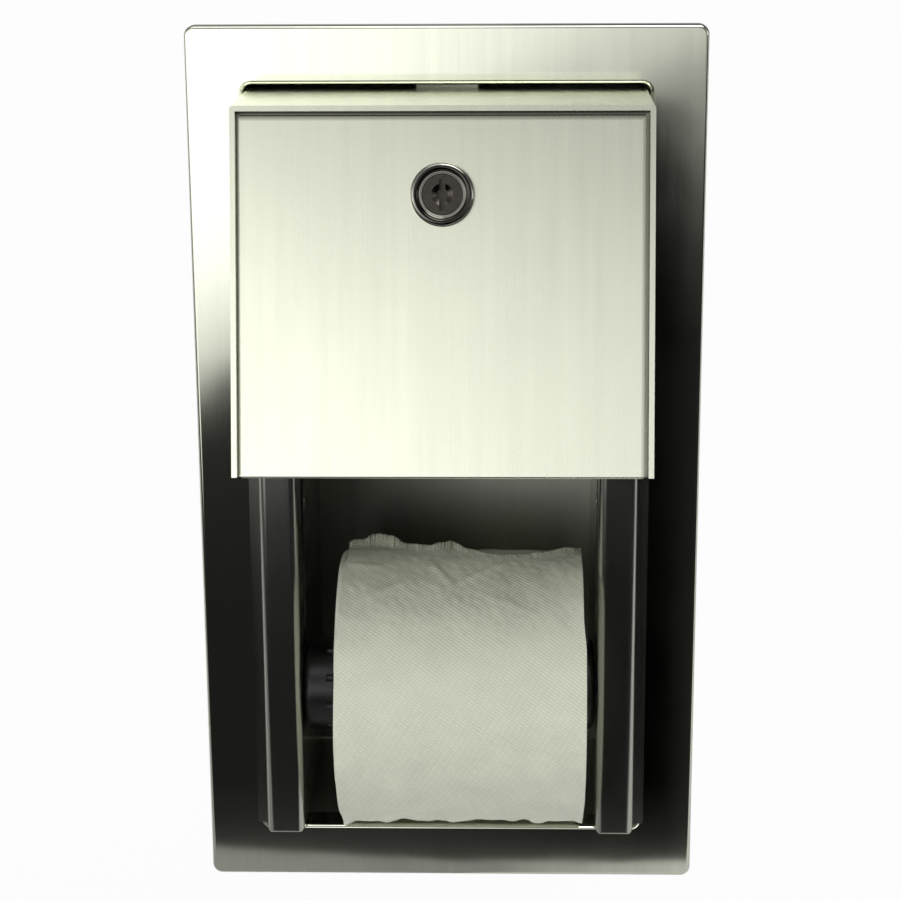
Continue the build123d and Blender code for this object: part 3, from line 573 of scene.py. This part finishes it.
def makeRoll(name, body, node, low, high, centreZ, seed):
    # Wound paper: a closed profile (end, bend, crown, bend, end, bore) carried round the spindle's axis.
    # Place = across the roll, then centre + reach * (cos, sin) of the turn.
    inner, outer, rounding = rollLook["coreRadius"], rollLook["radius"], rollLook["edgeRounding"]
    endRings, boreRings = rollLook["endRings"], rollLook["boreRings"]
    endSteps = np.linspace(0, 1, endRings)
    crownSteps = np.linspace(0, 1, rollLook["crownRings"])[1:-1]
    bend = np.linspace(0, np.pi / 2, rollLook["bendRings"])[1:-1]
    shoulder = outer - rounding
    endReach = inner + (shoulder - inner) * endSteps
    dish = rollLook["endDish"] * np.sin(np.pi * endSteps)
    across = np.concatenate([
        low + dish,
        low + rounding * (1 - np.cos(bend)),
        low + rounding + (high - low - 2 * rounding) * crownSteps,
        high - rounding * (1 - np.cos(bend[::-1])),
        high - dish[::-1],
        np.linspace(high, low, boreRings)[1:-1],
    ])
    reach = np.concatenate([
        endReach,
        shoulder + rounding * np.sin(bend),
        np.full(len(crownSteps), outer),
        shoulder + rounding * np.sin(bend[::-1]),
        endReach[::-1],
        np.full(boreRings - 2, inner),
    ])
    turn = np.linspace(0, 2 * np.pi, rollLook["turns"], endpoint=False)
    angle = np.broadcast_to(turn[:, None], (len(turn), len(reach)))
    x = np.broadcast_to(across, angle.shape)
    radius = np.broadcast_to(reach, angle.shape).copy()
    proud = np.clip((radius - inner) / (outer - inner), 0, 1)
    sides = rollLook["lumpSides"]
    alongLumps = x * rollLook["lumpPitch"] + np.sin(angle) * sides
    lumps = smoothNoise(np.cos(angle) * sides, alongLumps, seed, waves=24, lowest=0.3, highest=1.4)
    radius += rollLook["lumps"] * proud * (lumps - 1.0)
    layerPlace = (radius * rollLook["layerPitch"], np.sin(angle) * rollLook["layerSides"])
    layers = smoothNoise(*layerPlace, seed + 1, waves=20, lowest=0.4, highest=1.6)
    middle = (low + high) / 2
    nearEnd = np.abs(x - middle) > (high - low) / 2 - rounding
    onEnd = nearEnd & (radius < shoulder) & (radius > inner + 0.0003)
    x = x - np.where(onEnd, np.sign(x - middle) * rollLook["layerDepth"] * (1 + layers * 0.5), 0)
    y = rollPlaces["depth"] + radius * np.cos(angle)
    z = centreZ + radius * np.sin(angle)
    points = np.stack([x, y, z], axis=-1).reshape(-1, 3)
    onCrown = np.broadcast_to(reach > outer - rounding * 0.5, angle.shape)
    uv = np.stack([np.where(onCrown, x, radius), angle * outer], axis=-1).reshape(-1, 2)
    quads = gridFaces(len(turn), len(reach), closed=True)
    made = buildMesh(name, points, quads, uv, sheetPaper, body)
    made.data.materials.append(endPaper)
    column = (quads % len(reach)).max(axis=1)
    isEnd = (column < endRings) | (column > len(reach) - boreRings - (endRings - 1))
    made.data.polygons.foreach_set("material_index", isEnd.astype(np.int32))
    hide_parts(node)


sheetLook = {
    "thickness": 0.00022,
    # from here on in mm and degrees, turning from +Y towards +Z
    "radius": 56.1,
    "left": -44.0,
    "width": 98.0,
    "rows": 150,
    "columns": 300,
    "proud": 0.3,  # off the roll, before puffs and creases
    "mostProud": 2.5,
    "puffs": [(0.28, 5, 30, 0.02, 0.09), (0.10, 6, 40, 0.1, 0.3)],  # height, seed step, waves, pitches
    "pressedAt": 158.0,  # lies flatter here, where the swung hood passes a lifted roll
    "pressedOver": 16.0,
    "pressedMost": 0.85,
    "hemWave": 0.6,
    "tornReach": 3.6,  # how far the lifted edges reach into the sheet
    "tornWave": (0.3, 0.12),  # how much its slow and quick waves change the torn edge's lift
    "hemReach": 3.0,
    "hemLift": (0.4, 0.5),  # everywhere, and by its wave
    "cornerLift": (1.6, 0.6),  # left corner of the hem, and the right one's share of it
    "cornerShare": 0.03,  # width of the lifted corners as a share of the sheet's
    # edge lines of the loose sheet: angles against places across the roll
    "leftAngles": [70, 97, 106, 126, 145, 165, 186, 199, 218, 242],
    "leftEdge": [-42.0, -41.2, -42.6, -43.2, -43.9, -44.3, -44.6, -44.4, -43.8, -43.0],
    "rightAngles": [70, 115, 133, 145, 200, 242],
    "rightEdge": [53.8, 53.9, 53.9, 54.8, 54.8, 54.2],
    "tornPlaces": [-44, -38, -30, -20, -8, 0, 6, 14, 20, 30, 40, 47, 54],
    "tornAngles": [78, 74, 73, 78, 83, 78, 86, 90, 92, 91, 88, 84, 82],
    "tornLift": [1.5, 3.0, 4.4, 2.4, 1.0, 2.6, 0.9, 0.4, 0.4, 0.3, 0.4, 0.9, 0.4],
    "hemPlaces": [-44, -30, -12, 0, 16, 30, 44, 54],
    "hemAngles": [241, 237, 234, 236, 234, 235, 236, 240],
    # creases: middle across, middle angle, half length (mm), slant (deg), height (mm), width (mm)
    "creases": [
        (-3, 108, 7, 60, 0.7, 1.6), (13, 108, 14, -35, 0.6, 1.4), (40, 108, 14, -60, 0.7, 1.8),
        (-25, 118, 9, -30, 0.45, 1.7), (-33, 103, 6, 10, 0.6, 1.6), (24, 125, 11, 25, 0.4, 1.8),
        (-12, 150, 10, -20, 0.3, 2.0), (30, 160, 12, 40, 0.3, 2.2), (-36, 190, 12, 85, 0.4, 2.0),
        (48, 170, 18, 88, 0.5, 2.2), (5, 200, 14, -15, 0.3, 2.4), (-20, 222, 9, 10, 0.4, 1.8),
    ],
}


def edgeLine(where, kind):
    return np.interp(where, sheetLook[kind[0]], sheetLook[kind[1]])


def addCreases(puff, across, arc):
    # Each crease: height * exp(-(beside / width)^2 - (along / half)^4), turned by its slant.
    for middle, at, half, slant, height, width in sheetLook["creases"]:
        dx, ds = across - middle, arc - math.radians(at) * sheetLook["radius"]
        turn = math.radians(slant)
        along = dx * math.cos(turn) + ds * math.sin(turn)
        beside = -dx * math.sin(turn) + ds * math.cos(turn)
        puff += height * np.exp(-(beside / width) ** 2 - (along / half) ** 4)


def makeLooseSheet(name, body, centreZ, shift, seed):
    # Outer sheet: a patch of a cylinder between a torn edge and a hem; creases and puffs add to its radius.
    base = sheetLook["radius"]
    rows, columns = sheetLook["rows"], sheetLook["columns"]
    down, over = np.meshgrid(np.linspace(0, 1, rows), np.linspace(0, 1, columns), indexing="ij")
    flatAcross = sheetLook["left"] + sheetLook["width"] * over
    ragged = smoothNoise(flatAcross, flatAcross * 0, seed, waves=40, lowest=0.15, highest=1.5)
    wavy = smoothNoise(flatAcross, flatAcross * 0, seed + 3, waves=14, lowest=0.02, highest=0.16)
    torn = edgeLine(flatAcross, ("tornPlaces", "tornAngles")) + ragged
    hem = edgeLine(flatAcross, ("hemPlaces", "hemAngles")) + sheetLook["hemWave"] * wavy
    angle = torn + (hem - torn) * down
    left = edgeLine(angle, ("leftAngles", "leftEdge"))
    right = edgeLine(angle, ("rightAngles", "rightEdge"))
    across = left + (right - left) * over
    arc = np.radians(angle) * base
    puff = np.zeros(angle.shape)
    for height, seedStep, waves, lowest, highest in sheetLook["puffs"]:
        puff += height * smoothNoise(across, arc, seed + seedStep, waves, lowest, highest)
    addCreases(puff, across, arc)
    fromTorn = np.radians(angle - torn) * base
    fromHem = np.radians(hem - angle) * base
    slowWave, quickWave = sheetLook["tornWave"]
    uneven = 1 + slowWave * wavy + quickWave * ragged
    lift = edgeLine(across, ("tornPlaces", "tornLift")) * uneven
    curl = np.clip(lift, 0, 5) * np.exp(-((fromTorn / sheetLook["tornReach"]) ** 2))
    share = sheetLook["cornerShare"]
    leftLift, rightShare = sheetLook["cornerLift"]
    corner = np.exp(-((over / share) ** 2)) + rightShare * np.exp(-(((over - 1.0) / share) ** 2))
    hemRise, hemSwell = sheetLook["hemLift"]
    hemLift = hemRise + hemSwell * np.clip(wavy, -0.5, 1.5) + leftLift * corner
    curl += hemLift * np.exp(-((fromHem / sheetLook["hemReach"]) ** 2))
    fromPress = (angle - sheetLook["pressedAt"]) / sheetLook["pressedOver"]
    pressed = 1 - sheetLook["pressedMost"] * np.exp(-(fromPress ** 2))
    radius = base + np.clip(sheetLook["proud"] + puff, 0, sheetLook["mostProud"]) * pressed + curl
    turn = np.radians(angle)
    x = (across + shift) * 0.001
    y = rollPlaces["depth"] + radius * np.cos(turn) * 0.001
    z = centreZ + radius * np.sin(turn) * 0.001
    points = np.stack([x, y, z], axis=-1).reshape(-1, 3)
    uv = np.stack([across * 0.001, arc * 0.001], axis=-1).reshape(-1, 2)
    made = buildMesh(name, points, gridFaces(rows, columns), uv, sheetPaper, body)
    thick = made.modifiers.new("thickness", "SOLIDIFY")
    thick.thickness = sheetLook["thickness"]
    thick.offset = -1.0


lowerZ, reserveZ = rollPlaces["lower"], rollPlaces["reserve"]
makeRoll(
    "lowerRollPaper", "lower_roll", "lower_tissue",
    low=-0.0447, high=0.0538, centreZ=lowerZ, seed=11,
)
makeLooseSheet("lowerRollSheet", "lower_roll", centreZ=lowerZ, shift=0.0, seed=21)
makeRoll(
    "reserveRollPaper", "reserve_roll", "reserve_tissue",
    low=-0.0497, high=0.0497, centreZ=reserveZ, seed=31,
)
makeLooseSheet("reserveRollSheet", "reserve_roll", centreZ=reserveZ, shift=-4.9, seed=41)
print("paper pieces made")


finishes = {
    "flange": steels["flangeSteel"],
    "hood_wrap": steels["hoodSteel"],
    "hood_front": steels["panelSteel"],
    "cabinet_wrap": steels["cabinetSteel"],
    "cabinet_top": steels["cabinetSteel"],
    "cabinet_bottom": steels["cabinetSteel"],
    "right_track": steels["trackSteel"],
    "left_track": steels["trackSteel"],
    "right_rocker": steels["trackSteel"],
    "left_rocker": steels["trackSteel"],
    "lock_keeper": steels["cabinetSteel"],
    "track_rivets": rivetSteel,
    "keeper_rivets": rivetSteel,
    "hood_pivot_pins": rivetSteel,
    "hood_stop_pins": rivetSteel,
    "rocker_pins": steels["trackSteel"],
    "hood_pivot_washers": plastics["nylon"],
    "lock_body": chromes["bezelChrome"],
    "lock_nut": rivetSteel,
    "lock_plug": chromes["plugChrome"],
    "lock_cam": rivetSteel,
    "lock_cam_screw": rivetSteel,
    "lower_spindle_barrel": plastics["spindlePlastic"],
    "lower_spindle_plug": plastics["spindlePlastic"],
    "reserve_spindle_barrel": plastics["spindlePlastic"],
    "reserve_spindle_plug": plastics["spindlePlastic"],
    "lower_core": coreBoard,
    "reserve_core": coreBoard,
}
for nodeName, material in finishes.items():
    slots = nodes[nodeName].data.materials
    slots.clear()
    slots.append(material)
print("finishes on", len(finishes), "nodes")


viewPoint = {
    "place": (0.02523, -0.88914, 0.25241),
    "pitch": 15.412,
    "yaw": 1.591,
    "roll": -0.324,
    "lens": 92.0,
    "frameWidth": 36.0,  # of the square picture that the lens is for
    "clip": (0.01, 50.0),
}


def makeCamera():
    # Turns that take the object's axes to the picture's: right, down and away.
    pitch, yaw, roll = (math.radians(viewPoint[key]) for key in ("pitch", "yaw", "roll"))
    base = np.array([[1, 0, 0], [0, 0, -1], [0, 1, 0]], float)
    tip = np.array([[1, 0, 0], [0, math.cos(pitch), -math.sin(pitch)], [0, math.sin(pitch), math.cos(pitch)]])
    swing = np.array([[math.cos(yaw), 0, math.sin(yaw)], [0, 1, 0], [-math.sin(yaw), 0, math.cos(yaw)]])
    lean = np.array([[math.cos(roll), -math.sin(roll), 0], [math.sin(roll), math.cos(roll), 0], [0, 0, 1]])
    right, down, away = lean @ tip @ swing @ base
    turned = np.eye(4)
    turned[:3, :3] = np.stack([right, -down, -away], axis=1)
    turned[:3, 3] = viewPoint["place"]
    camera = bpy.data.objects.new("camera", bpy.data.cameras.new("camera"))
    camera.data.lens = viewPoint["lens"]
    camera.data.sensor_width = viewPoint["frameWidth"]
    camera.data.clip_start, camera.data.clip_end = viewPoint["clip"]
    scene.collection.objects.link(camera)
    camera.matrix_world = Matrix(turned.tolist())
    scene.camera = camera


stageLook = {
    "floorHeight": -0.30,
    "floorReach": 12.0,
    "floorTint": (0.82, 0.82, 0.82, 1.0),
    "floorGlow": 0.96,  # share of plain white in what the camera sees of the floor
    "mirroredLift": 0.001,
    # what the metal mirrors of the studio floor in front: level against distance, as a share of the edge's
    "edgeAt": 0.30,  # this far to the left
    "edgeLeft": 1.45,  # the bright floor begins this many metres in front
    "edgeSlope": 3.95,  # how fast that edge runs away to the right
    "edgeRange": (1.0, 7.0),
    "floorLevels": [
        (0.0, 0.011), (0.35, 0.0115), (0.54, 0.014), (0.66, 0.018), (0.76, 0.03), (0.84, 0.09), (0.90, 0.28),
        (0.97, 0.55), (1.05, 0.76), (1.2, 0.96), (1.45, 1.10), (1.75, 1.28), (2.5, 1.35),
    ],
    "stepAt": (3.88, 3.98),  # on the right the bright floor begins within this short stretch
    "stepLeft": (0.0, 0.10),  # between these places across the step sets in
    "beforeStep": 0.04,
    "acrossLevels": [
        (-0.16, 1.22), (-0.10, 1.15), (-0.03, 0.96), (0.02, 0.88), (0.06, 0.84), (0.12, 0.8), (0.3, 0.5),
    ],
    # grey patch on the far right: its level against distance, and the mirrored directions it rises between
    "sideLevels": [
        (1.6, 0.02), (2.12, 0.052), (2.41, 0.095), (2.78, 0.17), (3.0, 0.25), (3.2, 0.32), (3.8, 0.38),
    ],
    "sideReach": (0.0715, 0.083),
    "leastDistance": 0.01,
    "nearReach": 0.2768,  # a lighter strip right in front, wider to the left
    "nearSlant": 0.034,
    "nearSoft": 0.0015,
    "nearLevels": [
        (-0.49, 0.25), (-0.34, 0.235), (-0.23, 0.23), (-0.13, 0.20), (-0.03, 0.22), (0.07, 0.21),
        (0.17, 0.36), (0.27, 0.44), (0.37, 0.46), (0.42, 0.55),
    ],
    "footLevels": [(0.276, 0.045), (0.30, 0.022), (0.33, 0.008), (0.38, 0.0)],  # faint glow before that strip
    # the room: level against elevation and against the turn to the right, in degrees
    "heightLevels": [
        (-10, 1.05), (6, 1.03), (9, 0.96), (12.6, 0.84), (15.5, 0.66), (20, 0.44), (30, 0.26), (52, 0.22),
        (66, 0.8), (90, 1.1),
    ],
    "lean": (9, 20, 9),  # from the first to the second elevation the room slides this far to the left
    "turnLevels": [
        (-180, 0.35), (-100, 0.45), (-70, 1.2), (-50, 1.9), (-20, 2.3), (-8, 2.05), (-4, 1.6), (-1.6, 1.28),
        (2.2, 0.93), (6, 0.66), (15, 0.34), (40, 0.24), (58, 0.26), (64, 1.7), (76, 1.7), (82, 0.3),
        (180, 0.28),
    ],
    # a window up on the right: level, then edges of its soft frame in elevation and turn
    "window": 4.0,
    "windowHeights": [(42, 0.0), (48, 1.0), (72, 1.0), (80, 0.0)],
    "windowTurns": [(-12, 0.0), (0, 1.0), (46, 1.0), (56, 0.0)],
}


def levelCurve(tree, value, stops):
    # Straight runs between (place, level) stops, as a grey ramp over the value scaled to 0..1.
    low, high = stops[0][0], stops[-1][0]
    top = max(level for _, level in stops)
    ramp = addNode(tree, "ShaderNodeValToRGB", {"Fac": remap(tree, value, low, high, 0.0, 1.0)})
    points = ramp.color_ramp.elements
    while len(points) < len(stops):
        points.new(0.5)
    for point, (place, level) in zip(points, stops):
        point.position = (place - low) / (high - low)
        point.color = (level / top, level / top, level / top, 1.0)
    return mathNode(tree, "MULTIPLY", ramp.outputs["Color"], top)


def makeFlat(name, back, height, material):
    # Level sheet as wide as the floor, from in front of the object to the given place behind it.
    reach = stageLook["floorReach"]
    corners = [(-reach, -reach), (reach, -reach), (reach, back), (-reach, back)]
    mesh = bpy.data.meshes.new(name)
    mesh.from_pydata([(x, y, height) for x, y in corners], [], [list(range(len(corners)))])
    mesh.materials.append(material)
    flat = bpy.data.objects.new(name, mesh)
    scene.collection.objects.link(flat)
    return flat


def newStageTree(name):
    # Empty material for the stage, with the socket its surface goes into.
    material = bpy.data.materials.new(name)
    material.use_nodes = True
    tree = material.node_tree
    tree.nodes.clear()
    return material, tree, tree.nodes.new("ShaderNodeOutputMaterial").inputs["Surface"]


def makeFloorMaterial():
    # White to the camera, but for the object's shadow; a plain pale floor to everything else.
    material, tree, surface = newStageTree("paleFloor")
    diffuse = addNode(tree, "ShaderNodeBsdfDiffuse", {"Color": stageLook["floorTint"]})
    glow = addNode(tree, "ShaderNodeEmission", {"Color": (1, 1, 1, 1), "Strength": 1.0})
    path = tree.nodes.new("ShaderNodeLightPath")
    share = mathNode(tree, "MULTIPLY", path.outputs["Is Camera Ray"], stageLook["floorGlow"])
    mix = addNode(tree, "ShaderNodeMixShader", {0: share, 1: diffuse.outputs[0], 2: glow.outputs[0]})
    tree.links.new(mix.outputs[0], surface)
    return material


def brightFloor(tree, x, distance):
    # Far floor: bright past a slanting edge, edge = edgeLeft + edgeSlope * (x + edgeAt), fading to the right.
    slant = mathNode(tree, "MULTIPLY", mathNode(tree, "ADD", x, stageLook["edgeAt"]), stageLook["edgeSlope"])
    nearest, farthest = stageLook["edgeRange"]
    edge = mathNode(tree, "MAXIMUM", mathNode(tree, "ADD", slant, stageLook["edgeLeft"]), nearest)
    share = mathNode(tree, "DIVIDE", distance, mathNode(tree, "MINIMUM", edge, farthest))
    across = levelCurve(tree, mathNode(tree, "DIVIDE", x, distance), stageLook["acrossLevels"])
    level = mathNode(tree, "MULTIPLY", levelCurve(tree, share, stageLook["floorLevels"]), across)
    onLeft = remap(tree, x, *stageLook["stepLeft"], 1.0, 0.0)
    step = remap(tree, distance, *stageLook["stepAt"], stageLook["beforeStep"], 1.0)
    return mathNode(tree, "MULTIPLY", level, mathNode(tree, "MAXIMUM", onLeft, step))


def sidePatch(tree, x, distance):
    # Grey patch that rises with the mirrored direction, (x - eye) / (distance + eye's own distance).
    eyeX, eyeY, _ = viewPoint["place"]
    awayFromEye = mathNode(tree, "SUBTRACT", distance, eyeY)
    seen = mathNode(tree, "DIVIDE", mathNode(tree, "SUBTRACT", x, eyeX), awayFromEye)
    rise = remap(tree, seen, *stageLook["sideReach"], 0.0, 1.0)
    return mathNode(tree, "MULTIPLY", rise, levelCurve(tree, distance, stageLook["sideLevels"]))


def nearStrip(tree, x, distance):
    # Lighter strip right in front: its edge is nearReach, less nearSlant times the direction on the left.
    turn = mathNode(tree, "DIVIDE", x, distance)
    drawn = mathNode(tree, "MULTIPLY", turn, stageLook["nearSlant"])
    slanted = mathNode(tree, "SUBTRACT", stageLook["nearReach"], drawn)
    past = mathNode(tree, "SUBTRACT", distance, mathNode(tree, "MAXIMUM", stageLook["nearReach"], slanted))
    isNear = remap(tree, past, -stageLook["nearSoft"], stageLook["nearSoft"], 1.0, 0.0)
    return mathNode(tree, "MULTIPLY", isNear, levelCurve(tree, turn, stageLook["nearLevels"]))


def makeMirroredFloorMaterial():
    # Glow over the floor's own x and distance in front: dark close by, bright past a slanting edge.
    material, tree, surface = newStageTree("mirroredFloor")
    x, y, _ = splitPoint(tree, objectPoint(tree))
    ahead = mathNode(tree, "MULTIPLY", y, -1.0)
    distance = mathNode(tree, "MAXIMUM", ahead, stageLook["leastDistance"])
    level = mathNode(tree, "MAXIMUM", brightFloor(tree, x, distance), sidePatch(tree, x, distance))
    level = mathNode(tree, "ADD", level, levelCurve(tree, distance, stageLook["footLevels"]))
    level = mathNode(tree, "ADD", level, nearStrip(tree, x, distance))
    glow = addNode(tree, "ShaderNodeEmission", {"Color": (1, 1, 1, 1), "Strength": level})
    tree.links.new(glow.outputs[0], surface)
    return material


def makeWorld():
    # White to the camera; to the object a soft room: bright low in front and overhead, dim elsewhere.
    world = bpy.data.worlds.new("room")
    scene.world = world
    world.use_nodes = True
    tree = world.node_tree
    tree.nodes.clear()
    output = tree.nodes.new("ShaderNodeOutputWorld")
    x, y, z = splitPoint(tree, addNode(tree, "ShaderNodeTexCoord").outputs["Generated"])
    height = mathNode(tree, "DEGREES", mathNode(tree, "ARCSINE", z))
    forward = mathNode(tree, "MULTIPLY", y, -1.0)
    turn = mathNode(tree, "DEGREES", mathNode(tree, "ARCTAN2", x, forward))
    leanLow, leanHigh, leanMost = stageLook["lean"]
    leaning = mathNode(tree, "ADD", turn, remap(tree, height, leanLow, leanHigh, 0.0, leanMost))
    byHeight = levelCurve(tree, height, stageLook["heightLevels"])
    level = mathNode(tree, "MULTIPLY", byHeight, levelCurve(tree, leaning, stageLook["turnLevels"]))
    inHeight = levelCurve(tree, height, stageLook["windowHeights"])
    inFrame = mathNode(tree, "MULTIPLY", inHeight, levelCurve(tree, turn, stageLook["windowTurns"]))
    level = mathNode(tree, "ADD", level, mathNode(tree, "MULTIPLY", inFrame, stageLook["window"]))
    room = addNode(tree, "ShaderNodeBackground", {"Color": (1, 1, 1, 1), "Strength": level})
    white = addNode(tree, "ShaderNodeBackground", {"Color": (1, 1, 1, 1), "Strength": 1.0})
    isCamera = tree.nodes.new("ShaderNodeLightPath").outputs["Is Camera Ray"]
    mix = addNode(tree, "ShaderNodeMixShader", {0: isCamera, 1: room.outputs[0], 2: white.outputs[0]})
    tree.links.new(mix.outputs[0], output.inputs["Surface"])


lampLook = {
    "key": {"place": (-0.9, -2.0, 0.35), "aim": (0.0, 0.0, 0.0), "size": 1.4, "watts": 2.5},
}


def makeLamp(name, place, aim, size, watts):
    lamp = bpy.data.lights.new(name, "AREA")
    lamp.size = size
    lamp.energy = watts
    holder = bpy.data.objects.new(name, lamp)
    scene.collection.objects.link(holder)
    away = np.array(place) - np.array(aim)
    back = away / np.linalg.norm(away)
    side = np.cross((0, 0, 1), back)
    side /= np.linalg.norm(side)
    turned = np.eye(4)
    turned[:3, :3] = np.stack([side, np.cross(back, side), back], axis=1)
    turned[:3, 3] = place
    holder.matrix_world = Matrix(turned.tolist())
    holder.visible_glossy = False


makeCamera()
makeFlat("floor", stageLook["floorReach"], stageLook["floorHeight"], makeFloorMaterial())
mirroredHeight = stageLook["floorHeight"] + stageLook["mirroredLift"]
mirrored = makeFlat("mirroredFloor", 0.0, mirroredHeight, makeMirroredFloorMaterial())
mirrored.visible_camera = False
mirrored.visible_diffuse = False
mirrored.visible_shadow = False
mirrored.visible_transmission = False
makeWorld()
for lampName, lampValues in lampLook.items():
    makeLamp(lampName, **lampValues)
scene.view_settings.view_transform = "Standard"
print("camera, floor and light set")
